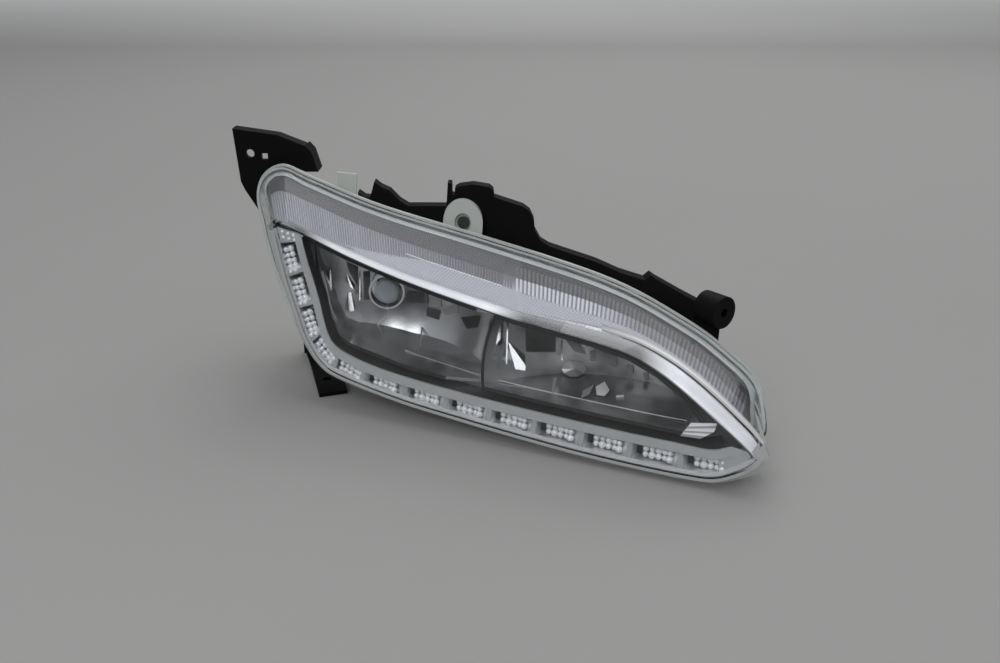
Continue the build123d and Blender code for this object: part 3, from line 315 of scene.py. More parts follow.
FINISHES = {
    "outer_lens": lens_clear,
    "lens_seal": seal_rubber,
    "rear_housing": housing_grey,
    "inner_bezel": bezel_dark,
    "trim_strip": strip_silver,
    "drl_reflector": cell_frame,
    "led_board_side": board_green,
    "led_board_lower": board_green,
    "leds": led_yellow,
    "board_link": socket_black,
    "board_screws": zinc_steel,
    "fluted_trim_left": flute_chrome,
    "fluted_trim_right": flute_chrome,
    "main_reflector": rim_chrome,
    "reflector_screws": zinc_steel,
    "bulb_shield": ring_chrome,
    "bulb_capsule": bulb_glass,
    "bulb_holder": socket_black,
    "bulb_seal": seal_rubber,
    "bulb_terminals": tinned_brass,
    "drl_connector": socket_black,
    "drl_terminals": tinned_brass,
    "connector_seal": seal_rubber,
    "led_harness": wire_black,
    "vent_cap": socket_black,
    "vent_membrane": membrane_white,
    "mounting_bracket": bracket_black,
    "bracket_screws": zinc_steel,
}


def dress(piece, finish):
    """Gives a piece one finish."""
    piece.data.materials.clear()
    piece.data.materials.append(finish)


for name, finish in FINISHES.items():
    dress(nodes[name], finish)

# Lens edge, as in the part's source: along the face, up the face, how far the rim flares beyond the face
# (along, up) and the width of the edge band
STATIONS = [
    (-174.8, 110.0, -18.0, 9.0, 2.5),
    (-171.8, 101.0, -17.3, 5.4, 2.5),
    (-163.0, 76.5, -16.0, 0.5, 2.5),
    (-155.5, 59.5, -14.0, -2.0, 2.5),
    (-146.8, 41.0, -11.0, -5.0, 2.5),
    (-134.0, 25.4, -7.0, -6.0, 2.0),
    (-117.0, 17.8, -3.0, -4.0, 1.8),
    (-72.0, 10.0, 0.0, -3.0, 1.5),
    (-28.0, 5.8, 0.0, -2.5, 1.5),
    (13.0, 2.5, 0.0, -2.5, 1.5),
    (53.0, 0.1, 0.0, -2.5, 1.5),
    (90.0, -0.8, 0.0, -2.5, 1.5),
    (120.0, -0.5, 1.0, -2.5, 1.5),
    (135.0, 1.4, 3.0, -2.5, 2.0),
    (148.0, 8.0, 5.0, -4.0, 3.0),
    (155.5, 14.0, 7.5, -1.0, 4.0),
    (158.0, 18.5, 8.0, 2.0, 5.0),
    (154.5, 23.0, 11.0, 4.0, 7.0),
    (145.0, 30.0, 16.0, 13.0, 8.0),
    (120.0, 47.0, 15.0, 18.0, 9.0),
    (100.0, 59.0, 8.0, 19.5, 8.5),
    (80.0, 67.0, 3.0, 21.5, 8.0),
    (58.0, 71.0, 0.0, 24.5, 7.5),
    (33.0, 74.0, 0.0, 26.5, 6.5),
    (4.0, 77.5, -0.5, 28.0, 5.5),
    (-40.0, 85.0, -1.0, 27.5, 5.0),
    (-76.0, 92.0, -2.0, 26.0, 4.5),
    (-113.0, 101.0, -3.0, 24.5, 4.0),
    (-150.0, 112.0, -4.0, 23.5, 3.5),
    (-168.0, 116.0, -9.0, 25.0, 3.0),
    (-173.5, 114.5, -16.0, 19.5, 2.5),
]

# Stations where the trims end and meet
RIDGE_RIGHT = 18
RIDGE_JOINT = 24
RIDGE_LEFT = 29

# Steps of a smooth line between two of its points
CURVE_STEPS = 24


def grown(points, amounts):
    """Closed run of points moved outward, each by its own amount or all by the same one."""
    count = len(points)
    each = amounts if isinstance(amounts, list) else [amounts] * count
    moved = []
    for index, point in enumerate(points):
        before = points[index - 1]
        after = points[(index + 1) % count]
        step = (after[0] - before[0], after[1] - before[1])
        shift = each[index] / hypot(*step)
        moved.append((point[0] + shift * step[1], point[1] - shift * step[0]))
    return moved


def smooth(points, count):
    """Evenly spaced points on a smooth line through the given ones."""
    line = []
    last = len(points) - 1
    for index in range(last):
        before = Vector(points[max(index - 1, 0)])
        here = Vector(points[index])
        there = Vector(points[index + 1])
        after = Vector(points[min(index + 2, last)])
        for step in range(CURVE_STEPS):
            t = step / CURVE_STEPS
            bend = 2 * here + (there - before) * t + (2 * before - 5 * here + 4 * there - after) * t * t
            line.append((bend + (3 * here - before - 3 * there + after) * t ** 3) / 2)
    line.append(Vector(points[last]))
    reach = [0.0]
    for first, second in zip(line, line[1:]):
        reach.append(reach[-1] + (second - first).length)
    even = []
    place = 0
    for number in range(count):
        goal = reach[-1] * number / (count - 1)
        while place < len(line) - 2 and reach[place + 1] < goal:
            place += 1
        share = (goal - reach[place]) / max(reach[place + 1] - reach[place], 1e-9)
        even.append(line[place].lerp(line[place + 1], share))
    return even


FACE = [(s[0], s[1]) for s in STATIONS]
BAND = grown(FACE, [s[4] for s in STATIONS])
RIM = [(s[0] + s[2], s[1] + s[3]) for s in STATIONS]


def new_mesh(name, points, faces):
    """Mesh object with its faces pointing outward."""
    mesh = bpy.data.meshes.new(name)
    mesh.from_pydata(points, [], faces)
    shape = bmesh.new()
    shape.from_mesh(mesh)
    bmesh.ops.recalc_face_normals(shape, faces=shape.faces)
    shape.to_mesh(mesh)
    shape.free()
    piece = bpy.data.objects.new(name, mesh)
    bpy.context.scene.collection.objects.link(piece)
    return piece


def add_piece(piece, finish, slot, *replaced):
    """Dresses a finished piece and ties it to the lamp."""
    dress(piece, finish)
    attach(piece, "root")
    if replaced:
        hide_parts(*replaced)


def sheet_faces(rows, columns):
    """Faces of a closed sheet: a front grid of points, then a back grid of as many."""
    half = rows * columns
    faces = []
    for row in range(rows - 1):
        for column in range(columns - 1):
            a = row * columns + column
            quad = (a, a + 1, a + columns + 1, a + columns)
            faces.append(quad)
            faces.append(tuple(half + corner for corner in reversed(quad)))
    edge = list(range(columns))
    edge += [row * columns + columns - 1 for row in range(1, rows)]
    edge += [(rows - 1) * columns + column for column in range(columns - 2, -1, -1)]
    edge += [row * columns for row in range(rows - 2, 0, -1)]
    for first, second in zip(edge, edge[1:] + edge[:1]):
        faces.append((second, first, half + first, half + second))
    return faces


def sheet(name, grid, offset):
    """Closed sheet: rows of points, thickened by an offset."""
    front = [Vector(point) for row in grid for point in row]
    points = front + [point + Vector(offset) for point in front]
    return new_mesh(name, points, sheet_faces(len(grid), len(grid[0])))


class Shaper(Graph):
    """A Geometry Nodes tree with named inputs."""

    def __init__(self, name, sizes):
        self.tree = bpy.data.node_groups.new(name, "GeometryNodeTree")
        face = self.tree.interface
        face.new_socket("Geometry", in_out="INPUT", socket_type="NodeSocketGeometry")
        for size, value in sizes.items():
            socket = face.new_socket(size, in_out="INPUT", socket_type="NodeSocketFloat")
            socket.default_value = value
        face.new_socket("Material", in_out="INPUT", socket_type="NodeSocketMaterial")
        face.new_socket("Geometry", in_out="OUTPUT", socket_type="NodeSocketGeometry")
        self.source = self.tree.nodes.new("NodeGroupInput")

    def given(self, name):
        """One of the tree's inputs."""
        return Signal(self, self.source.outputs[name])

    def attribute(self, name, kind="FLOAT"):
        """Values that the mesh carries under a name."""
        return self.node("GeometryNodeInputNamedAttribute", {"data_type": kind}, {"Name": name})

    def finished(self, geometry):
        """Ends the tree in plain, dressed geometry."""
        real = self.node("GeometryNodeRealizeInstances", {}, {"Geometry": geometry})
        values = {"Geometry": real, "Material": self.given("Material")}
        dressed = self.node("GeometryNodeSetMaterial", {}, values)
        self.node("NodeGroupOutput", {}, {"Geometry": dressed})
        return self.tree


def shaped(piece, tree, sizes, finish):
    """Runs a tree on a piece and leaves a plain mesh."""
    run = piece.modifiers.new("shaper", "NODES")
    run.node_group = tree
    values = dict(sizes, Material=finish)
    for item in tree.interface.items_tree:
        if item.in_out == "INPUT" and item.name in values:
            run[item.identifier] = values[item.name]
    graph = bpy.context.evaluated_depsgraph_get()
    mesh = bpy.data.meshes.new_from_object(piece.evaluated_get(graph))
    piece.modifiers.clear()
    piece.data = mesh
    return piece


# Fluted trims under the shoulder of the lens: depths of their edges, their seat and the steps of their grid
TRIM_FRONT = 7.0
TRIM_BACK = 38.2
TRIM_DROP = 1.0
TRIM_SEAT = 5.0
TRIM_GAP = 1.5
TRIM_THICK = 1.6
FLUTE_PITCH = {"left": 1.95, "right": 2.6}
FLUTE_DEPTH = 0.6
HATCH_PITCH = 2.2
HATCH_DEPTH = 0.2
FLUTE_STEP = 0.32
FLUTE_ROWS = 48


def flute_tree():
    """Raises flutes and a finer hatch on a sheet that carries their masks."""
    sizes = {"Flute pitch": 2.0, "Flute depth": 0.0, "Hatch pitch": HATCH_PITCH, "Hatch depth": 0.0}
    tree = Shaper("trim flutes", sizes)
    run = tree.attribute("run")
    depth = tree.attribute("depth")

    def wave(distance, pitch):
        turn = tree.node("ShaderNodeMath", {"operation": "DIVIDE"}, {0: distance * pi, 1: tree.given(pitch)})
        swing = tree.node("ShaderNodeMath", {"operation": "SINE"}, {0: turn})
        return tree.node("ShaderNodeMath", {"operation": "ABSOLUTE"}, {0: swing})

    flutes = wave(run, "Flute pitch") * tree.given("Flute depth") * tree.attribute("fluted")
    crossed = wave(run + depth, "Hatch pitch") + wave(run - depth, "Hatch pitch")
    hatch = crossed * tree.given("Hatch depth") * tree.attribute("hatched")
    normal = tree.node("GeometryNodeInputNormal", {}, {})
    lift = {"Vector": normal, "Scale": flutes + hatch}
    offset = tree.node("ShaderNodeVectorMath", {"operation": "SCALE"}, lift)
    moved = {"Geometry": tree.given("Geometry"), "Offset": offset}
    return tree.finished(tree.node("GeometryNodeSetPosition", {}, moved))


def clamp(value):
    """The value, held between 0 and 1."""
    return min(max(value, 0.0), 1.0)


def zone(value, start, stop, slope):
    """1 between two values, 0 outside them, with a slope at both ends."""
    return clamp((value - start) / slope) * clamp((stop - value) / slope)


# Zones across a trim, as shares of its width from ridge to rim: hatch, flutes, faint flutes and their slope
HATCH_END = {"left": 0.42, "right": 0.40}
FLUTE_END = 0.66
FAINT_END = {"left": 0.66, "right": 0.88}
ZONE_SLOPE = 0.02
FAINT_FLUTES = 0.8

# Places along the face, each with the length of its change: the hatch starts, the left flutes turn darker and
# the painted highlight on the flutes of the right trim ends
HATCH_START, HATCH_GROWTH = -132.0, 72.0
DARKENING_START, DARKENING_GROWTH = -110.0, 100.0
HIGHLIGHT_END, HIGHLIGHT_FADE = 84.0, 30.0

# Shades of the zones; the plain zone by the rim is painted shade, lighter on the left than on the right
PLAIN_PAINTED_SHADE = {"left": 0.09, "right": 0.03}
FAINT_SHADE = 0.15
HATCH_SHADE, WEAVE_SHADE = 0.42, 0.40
LEFT_SHADE, LEFT_LOSS = 0.50, 0.26
RIGHT_SHADE, HIGHLIGHT_GAIN = 0.34, 0.60
VALLEY_SHADE, HIGHLIGHT_VALLEY_SHADE = 0.55, 0.40


def zone_marks(side, along, share, run, depth):
    """Flutes, hatch and shade at a point of a trim; the shade holds a painted highlight and painted shade.

    The point is given along the face, as a share of the trim's width, as a run on the ridge and as a depth.
    """
    hatch_end = HATCH_END[side] * clamp((along - HATCH_START) / HATCH_GROWTH)
    hatched = zone(share, ZONE_SLOPE, hatch_end + ZONE_SLOPE, ZONE_SLOPE)
    fluted = zone(share, hatch_end - ZONE_SLOPE / 2, FLUTE_END, ZONE_SLOPE)
    faint = zone(share, FLUTE_END - ZONE_SLOPE, FAINT_END[side], ZONE_SLOPE)
    # Painted highlight on the right trim's flutes, fading out along the face
    if side == "right":
        highlight = clamp((HIGHLIGHT_END - along) / HIGHLIGHT_FADE)
        tone = RIGHT_SHADE + HIGHLIGHT_GAIN * highlight
    else:
        highlight = 0.0
        tone = LEFT_SHADE - LEFT_LOSS * clamp((along - DARKENING_START) / DARKENING_GROWTH)
    # Flute valleys are darkened: painted shade
    valley = 1.0 - abs(sin(pi * run / FLUTE_PITCH[side]))
    weave = abs(sin(pi * (run + depth) / HATCH_PITCH) * sin(pi * (run - depth) / HATCH_PITCH))
    shade = max(
        (HATCH_SHADE + WEAVE_SHADE * weave) * hatched,
        tone * fluted * (1.0 - valley * (VALLEY_SHADE + HIGHLIGHT_VALLEY_SHADE * highlight)),
        FAINT_SHADE * faint * (1.0 - valley),
        PLAIN_PAINTED_SHADE[side],
    )
    return max(fluted, FAINT_FLUTES * faint), hatched, shade


def fluted_trim(side, first, last, gap_first, gap_last, tree):
    """One fluted trim, from one station of the ridge to another."""
    front = grown(FACE, -TRIM_DROP)[first : last + 1]
    back = grown(RIM, -TRIM_SEAT)[first : last + 1]
    length = sum((Vector(a) - Vector(b)).length for a, b in zip(front, front[1:]))
    count = int(length / FLUTE_STEP)
    front = smooth(front, count)[gap_first : count - gap_last]
    back = smooth(back, count)[gap_first : count - gap_last]
    grid = []
    marks = []
    for row in range(FLUTE_ROWS):
        share = row / (FLUTE_ROWS - 1)
        depth = TRIM_FRONT + share * (TRIM_BACK - TRIM_FRONT)
        line = []
        for number, (near, far) in enumerate(zip(front, back)):
            point = near.lerp(far, share)
            line.append(spot(point.x, point.y, depth))
            run = number * FLUTE_STEP
            marks.append((run, depth, *zone_marks(side, point.x, share, run, depth)))
        grid.append(line)
    piece = sheet(f"trim_{side}_fluted", grid, UPWARD * -TRIM_THICK * MM)
    for mark, values in zip(("run", "depth", "fluted", "hatched", "shade"), zip(*marks)):
        layer = piece.data.attributes.new(mark, "FLOAT", "POINT")
        layer.data.foreach_set("value", [*values] + [0.0] * len(values))
    sizes = {"Flute pitch": FLUTE_PITCH[side], "Hatch pitch": HATCH_PITCH}
    sizes.update({"Flute depth": FLUTE_DEPTH * MM, "Hatch depth": HATCH_DEPTH * MM})
    return shaped(piece, tree, sizes, flute_chrome)


gap_steps = int(TRIM_GAP / FLUTE_STEP)
flutes = flute_tree()
left = fluted_trim("left", RIDGE_JOINT, RIDGE_LEFT + 1, gap_steps, 0, flutes)
add_piece(left, flute_chrome, "fluted_coat", "fluted_trim_left")
right = fluted_trim("right", RIDGE_RIGHT, RIDGE_JOINT, 0, gap_steps, flutes)
add_piece(right, flute_chrome, "fluted_coat", "fluted_trim_right")


def trim_depth(station, height):
    """Depth of the trims' surface at a height above the edge of the face."""
    width = hypot(station[2], station[3]) - TRIM_SEAT + TRIM_DROP
    return TRIM_FRONT + (TRIM_BACK - TRIM_FRONT) * (height + TRIM_DROP) / width


def trim_lines(first, last, count):
    """Front and back edge of the trims' surface between two stations."""
    front = smooth(grown(FACE, -TRIM_DROP)[first:last], count)
    back = smooth(grown(RIM, -TRIM_SEAT)[first:last], count)
    return list(zip(front, back))


def on_trim(near, far, share, proud):
    """Point on the trims' surface at a share of its width, raised a little."""
    point = near.lerp(far, share)
    return Vector((point.x, point.y + proud, TRIM_FRONT + share * (TRIM_BACK - TRIM_FRONT)))


def marked_sheet(name, rows, offset, shade):
    """Closed sheet between lines of (along, up, depth) points.

    Its shade is a function of the row and of the place along the face.
    """
    grid = [[spot(*point) for point in row] for row in rows]
    piece = sheet(name, grid, offset)
    values = [shade(number, point[0]) for number, row in enumerate(rows) for point in row]
    layer = piece.data.attributes.new("shade", "FLOAT", "POINT")
    layer.data.foreach_set("value", values + values)
    return piece


def lines(levels, first, last, count):
    """Smooth lines along the edge of the face; each level is a closed run of points and their depths."""
    rows = []
    for run, depths in levels:
        each = depths if isinstance(depths, list) else [depths] * len(run)
        placed = [(*point, depth) for point, depth in zip(run, each)]
        rows.append(smooth((placed + placed)[first:last], count))
    return rows


def mixed(first, second, share):
    """Run of points between two runs."""
    return [(a[0] + (b[0] - a[0]) * share, a[1] + (b[1] - a[1]) * share) for a, b in zip(first, second)]


def row_shades(*shades):
    """Shade that each row of a sheet keeps all along."""
    return lambda row, along: shades[row]


# Runs along the edge of the face: first station, station after the last one, and points
RIDGE_RUN = (16, 30, 260)
LENS_EDGE_RUN = (0, 18, 300)
LINER_RUN = (0, 18, 200)
TRIM_END_RUN = (28, 34, 60)
JOINT_RUN = (22, 27, 300)
GLINT_RUN = (17, 23, 160)
BEAD_RUN = (RIDGE_JOINT, RIDGE_LEFT + 1, 40)

# Offsets in millimetres that give the sheets their thickness
RIDGE_OFFSET = Vector((0.0, 0.7, -0.7))
LENS_EDGE_OFFSET = (ALONG + UPWARD) * 0.1
LINER_OFFSET = (ALONG + UPWARD) * 0.35
TRIM_END_OFFSET = Vector((0.0, 1.0, 0.0))
JOINT_OFFSET = UPWARD * -1.2
GLINT_OFFSET = Vector((0.0, -0.1, 0.1))

# Bright ridge behind the edge band of the lens, a painted highlight of the lens's edge: start, end and slope
# of its bright parts along the face, how far in it turns back, and the shades of its lines in the left part,
# between the parts and in the right part
RIDGE_LEFT_HIGHLIGHT = (-150.0, 10.0, 24.0)
RIDGE_RIGHT_HIGHLIGHT = (84.0, 240.0, 26.0)
RIDGE_TURN = 3.7
RIDGE_HIGHLIGHT_SHADES = [
    (0.00, 0.00, 0.25),
    (0.70, 0.00, 0.80),
    (1.00, 0.02, 1.00),
    (1.00, 0.08, 0.90),
    (0.75, 0.22, 1.00),
    (0.50, 0.27, 0.70),
    (0.45, 0.30, 0.55),
]


def ridge_highlight_shade(row, along):
    """Painted highlight, bright at both ends of the ridge and dull between them."""
    left, middle, right = RIDGE_HIGHLIGHT_SHADES[row]
    shade = middle + (left - middle) * zone(along, *RIDGE_LEFT_HIGHLIGHT)
    return shade + (right - middle) * zone(along, *RIDGE_RIGHT_HIGHLIGHT)


def ridge_band():
    """Satin band along the upper edge of the face, just inside the lens, that turns back to the trims."""
    low = grown(FACE, -1.8)
    high = grown(BAND, -3.4)
    levels = [
        (grown(FACE, -2.7), 3.8),
        (grown(FACE, -2.2), 3.5),
        (low, 3.4),
        (mixed(low, high, 0.5), 4.6),
        (high, 5.8),
        (grown(BAND, -3.6), 8.4),
        (grown(BAND, -RIDGE_TURN), [max(trim_depth(s, s[4] - RIDGE_TURN), 8.8) for s in STATIONS]),
    ]
    # The band's shades paint the highlight along the lens's edge, with dark lower rows
    return marked_sheet("ridge_band", lines(levels, *RIDGE_RUN), RIDGE_OFFSET * MM, ridge_highlight_shade)


add_piece(ridge_band(), painted_highlight_satin, "silver_paint")


def lens_edge():
    """Painted highlight on the lower edge of the lens, a light grey skin on its edge band."""
    outside = grown(BAND, 0.15)
    levels = [(grown(FACE, -1.7), -0.05), (grown(FACE, 0.1), -0.02), (outside, 2.4), (outside, 3.4)]
    shade = row_shades(1.0, 1.0, 1.0, 1.0)
    return marked_sheet("lens_edge", lines(levels, *LENS_EDGE_RUN), LENS_EDGE_OFFSET * MM, shade)


def edge_liner():
    """Light frame just inside the lower flank of the lens, from the cells back to the rim."""
    levels = [
        (grown(FACE, -3.1), 5.4),
        (grown(FACE, -1.6), 3.4),
        (grown(BAND, -2.75), 5.5),
        (grown(RIM, -2.9), 33.5),
    ]
    shade = row_shades(1.0, 1.0, 1.0, 1.0)
    return marked_sheet("edge_liner", lines(levels, *LINER_RUN), LINER_OFFSET * MM, shade)


def trim_end():
    """End of the left trim round the upper left corner, darker toward the rim as painted shade."""
    levels = [(grown(FACE, -1.8), 7.3), (grown(mixed(FACE, RIM, 0.5), -3.8), 22.7), (grown(RIM, -5.8), 38.0)]
    shade = row_shades(0.55, 0.30, 0.12)
    return marked_sheet("trim_end", lines(levels, *TRIM_END_RUN), TRIM_END_OFFSET * MM, shade)


# Ends along the face of the block between the trims and of the bead on the left trim, and how far they rise
JOINT_ENDS = (-4.0, 9.0)
JOINT_PROUD = 0.5
BEAD_ENDS = (-76.0, -4.0)
BEAD_PROUD = 0.3
BEAD_RADIUS = 0.35


def trim_joint():
    """Frosted block where the two trims meet."""
    first, last = JOINT_ENDS
    places = [(near, far) for near, far in trim_lines(*JOINT_RUN) if first < near.x < last]
    shares = (0.02, 0.20, 0.41, 0.55, 0.68, 0.98)
    rows = [[on_trim(near, far, share, JOINT_PROUD) for near, far in places] for share in shares]
    # The rows darken toward the rim: painted shade, as on the trims' plain zone
    shade = row_shades(0.55, 0.55, 0.57, 0.28, 0.10, 0.06)
    return marked_sheet("trim_joint", rows, JOINT_OFFSET * MM, shade)


# Skin that paints the glint on the bend of the lens: shades of its lines, the share left toward the middle,
# and where it grows
GLINT_SHADES = (0.8, 1.0, 0.75, 0.5)
GLINT_LEAST = 0.55
GLINT_START, GLINT_GROWTH = 60.0, 40.0


def lens_glint():
    """Painted glint on the bend of the lens above the ridge, a skin that fades out toward the middle."""
    levels = [
        (mixed(FACE, BAND, 0.86), 2.1),
        (grown(BAND, 0.12), 2.4),
        (grown(mixed(BAND, RIM, 0.05), 0.15), 4.05),
        (grown(mixed(BAND, RIM, 0.10), 0.15), 5.65),
    ]

    def shade(row, along):
        growth = clamp((along - GLINT_START) / GLINT_GROWTH)
        return GLINT_SHADES[row] * (GLINT_LEAST + (1.0 - GLINT_LEAST) * growth)

    return marked_sheet("lens_glint", lines(levels, *GLINT_RUN), GLINT_OFFSET * MM, shade)


add_piece(lens_edge(), edge_painted_highlight, "clear_lens")
add_piece(lens_glint(), painted_highlight_satin, "clear_lens")
add_piece(edge_liner(), liner_grey, "silver_paint")
add_piece(trim_end(), flute_chrome, "fluted_coat")
add_piece(trim_joint(), flute_chrome, "fluted_coat")


ROD_SIDES = 8
ROD_STEPS = 12


def rod(name, places, radius):
    """Round rod through points of the lamp, closed at both ends."""
    sides = ROD_SIDES
    path = [spot(*place) for place in smooth(places, ROD_STEPS * len(places))]
    points = []
    for number, here in enumerate(path):
        ahead = path[min(number + 1, len(path) - 1)] - path[max(number - 1, 0)]
        aside = ahead.cross(UPWARD).normalized()
        above = aside.cross(ahead).normalized()
        for side in range(sides):
            turn = 2 * pi * side / sides
            points.append(here + (aside * cos(turn) + above * sin(turn)) * radius * MM)
    faces = [tuple(range(sides)), tuple(range(len(points) - sides, len(points)))]
    for start in range(0, len(points) - sides, sides):
        for side in range(sides):
            after = (side + 1) % sides
            faces.append((start + side, start + after, start + sides + after, start + sides + side))
    return new_mesh(name, points, faces)


def trim_bead():
    """Bright bead where the hatch of the left trim ends."""
    first, last = BEAD_ENDS
    edges = [(near, far) for near, far in trim_lines(*BEAD_RUN) if first < near.x < last]
    places = [on_trim(near, far, HATCH_END["left"], BEAD_PROUD) for near, far in edges]
    return rod("trim_bead_left", places, BEAD_RADIUS)


add_piece(trim_bead(), line_white, "fluted_coat")


def panels(name, fronts, backs):
    """Panels with flat edges, each between an outline of (along, up, depth) points and one behind it."""
    points = []
    faces = []
    for front, back in zip(fronts, backs):
        ring = len(front)
        base = len(points)
        far = base + ring + 1
        for outline in (front, back):
            places = [spot(*place) for place in outline]
            points += places + [sum(places, Vector()) / ring]
        for corner in range(ring):
            after = (corner + 1) % ring
            faces.append((base + corner, base + after, base + ring))
            faces.append((far + after, far + corner, far + ring))
            faces.append((base + after, base + corner, far + corner, far + after))
    return new_mesh(name, points, faces)


# Silver plates at both ends of the row of cells: outlines (along, up) and depths of their faces
END_PLATES = [
    [(137.0, 6.0), (146.0, 10.0), (152.0, 14.6), (154.2, 18.0), (151.5, 20.5), (143.0, 21.5), (137.0, 19.0)],
    [(-171.0, 111.5), (-149.5, 108.6), (-152.5, 104.0), (-167.5, 101.0)],
]
END_FRONT = 5.4
END_BACK = 6.2
end_fronts = [[(*point, END_FRONT) for point in outline] for outline in END_PLATES]
end_backs = [[(*point, END_BACK) for point in outline] for outline in END_PLATES]
add_piece(panels("tip_plate", end_fronts, end_backs), strip_silver, "silver_paint")

# Domes in the cells, placed from the light sources: how far a source's points reach from its first one, where
# the row starts, and the domes' radius, places along and across a cell, height above the source and sizes
LED_REACH = 6.5
ROW_START = (-175.0, 120.0, 19.0)
PILLOW_RADIUS = 2.15
PILLOW_RUNS = (-0.6, 3.4, 7.4, 11.2, 14.4)
PILLOW_STEPS = (0.0, 0.0, 0.0, 0.4, 1.8)
PILLOW_ROWS = (-3.9, 0.0, 3.9)
PILLOW_RISE = 9.2
PILLOW_SIZES = (0.82, 0.95, 1.08)

# Domes on the plate at the upper left corner
CORNER_PILLOWS = [
    (-166.5, 108.6), (-162.0, 107.8), (-157.5, 107.3), (-165.5, 104.8), (-161.0, 104.4), (-156.5, 104.3),
]
CORNER_DEPTH = 6.0
CORNER_SIZE = 0.7

# Plates in the cells, under the domes and beside them: ends along the row, half width, height and thickness
SEAT_ENDS = (-2.6, 14.4)
SEAT_HALF = 5.7
SEAT_RISE = PILLOW_RISE - 0.4
SHADE_PLATE_ENDS = (-12.8, -3.4)
SHADE_PLATE_HALF = 4.6
SHADE_PLATE_RISE = PILLOW_RISE - 1.2
CELL_PLATE = 1.0


def solid_middles(node):
    """Middle of each separate solid of a CAD node."""
    groups = []
    for vertex in nodes[node].data.vertices:
        for group in groups:
            if (group[0] - vertex.co).length < LED_REACH * MM:
                group.append(vertex.co.copy())
                break
        else:
            groups.append([vertex.co.copy()])
    return [sum(group, Vector()) / len(group) for group in groups]


def pillow_tree():
    """Sets a flattened dome on each point, turned as the point says."""
    tree = Shaper("cell pillows", {"Radius": PILLOW_RADIUS * MM})
    ball = tree.node("GeometryNodeMeshIcoSphere", {}, {"Radius": tree.given("Radius"), "Subdivisions": 2})
    round_ball = tree.node("GeometryNodeSetShadeSmooth", {}, {"Geometry": ball})
    scale = tree.attribute("size", "FLOAT_VECTOR")
    values = {"Points": tree.given("Geometry"), "Instance": round_ball, "Scale": scale}
    return tree.finished(tree.node("GeometryNodeInstanceOnPoints", {}, values))


def in_order(places):
    """Places along the row, from the top of the side to the tip."""
    return sorted(places, key=lambda place: (place - spot(*ROW_START)).length)


led_places = in_order(solid_middles("leds"))
row_headings = []
for number in range(len(led_places)):
    ahead = led_places[min(number + 1, len(led_places) - 1)] - led_places[max(number - 1, 0)]
    row_headings.append(ahead.normalized())


def cell_pillows():
    """Rows of domes on the far half of every cell."""
    points = []
    scales = []
    for place, heading in zip(led_places, row_headings):
        across = OUTWARD.cross(heading).normalized()
        for column, (run, step) in enumerate(zip(PILLOW_RUNS, PILLOW_STEPS)):
            for row, aside in enumerate(PILLOW_ROWS):
                offset = heading * run + across * aside + OUTWARD * (PILLOW_RISE + step)
                points.append(place + offset * MM)
                scales += [PILLOW_SIZES[(column * 2 + row) % 3]] * 3
    for place in CORNER_PILLOWS:
        points.append(spot(*place, CORNER_DEPTH))
        scales += [CORNER_SIZE] * 3
    mesh = bpy.data.meshes.new("cell_pillows")
    mesh.from_pydata(points, [], [])
    layer = mesh.attributes.new("size", "FLOAT_VECTOR", "POINT")
    layer.data.foreach_set("vector", scales)
    piece = bpy.data.objects.new("cell_pillows", mesh)
    bpy.context.scene.collection.objects.link(piece)
    return shaped(piece, pillow_tree(), {"Radius": PILLOW_RADIUS * MM}, cell_chrome)


def cell_plates(name, ends, half, rise):
    """Flat plate in every cell: its ends along the row, half width and height above the light source."""
    points = []
    faces = []
    for place, heading in zip(led_places, row_headings):
        across = OUTWARD.cross(heading).normalized()
        base = len(points)
        for height in (rise, rise - CELL_PLATE):
            for run, side in ((ends[0], -1), (ends[1], -1), (ends[1], 1), (ends[0], 1)):
                points.append(place + (heading * run + across * side * half + OUTWARD * height) * MM)
        faces += [tuple(base + k for k in (0, 1, 2, 3)), tuple(base + k for k in (7, 6, 5, 4))]
        for corner in range(4):
            after = (corner + 1) % 4
            faces.append((base + after, base + corner, base + 4 + corner, base + 4 + after))
    return new_mesh(name, points, faces)


add_piece(cell_pillows(), cell_chrome, "bright_coat")
# Painted shade: darker seats in the gaps between the domes, dark plates for the shadow beside each light
# source
add_piece(cell_plates("cell_seats", SEAT_ENDS, SEAT_HALF, SEAT_RISE), seat_chrome_painted_shade, "bright_coat")
add_piece(cell_plates("cell_painted_shade_plates", SHADE_PLATE_ENDS, SHADE_PLATE_HALF, SHADE_PLATE_RISE), cell_painted_shade, "dark_bezel")

# Bowls of the main reflector: bottom (along, up, depth) and radius, and the depth of the front edge
BOWLS = [((-88.0, 69.5, 66.0), 82.0), ((56.0, 46.0, 66.0), 92.0)]
BOWL_FRONT = 12.0

# How the mirror facets lean, how far they and the panels stand out, and how deep they sit in the bowl
FACET_AIM = Vector((-0.13, -0.83, 0.54)).normalized()
FACET_PROUD = 0.4
PANEL_RISE = 0.5
PANEL_PROUD = 0.6
PANEL_SEAT = 1.2


def bowl_depth(along, up):
    """Depth of the reflector's surface behind a point of the face."""
    start = spot(along, up, 0.0) / MM
    deepest = BOWL_FRONT
    for bottom, radius in BOWLS:
        middle = spot(*bottom) / MM - Vector((0.0, radius, 0.0))
        aside = hypot(start.x - middle.x, start.z - middle.z)
        if aside < radius:
            deepest = max(deepest, middle.y + sqrt(radius ** 2 - aside ** 2) - start.y)
    return deepest


def on_bowl(outline):
    """Outline with the bowl's depth at each point that has none."""
    return [point if len(point) == 3 else (*point, bowl_depth(*point)) for point in outline]


def moved(outline, up, depth):
    """Outline moved up and back."""
    return [(along, height + up, back + depth) for along, height, back in outline]


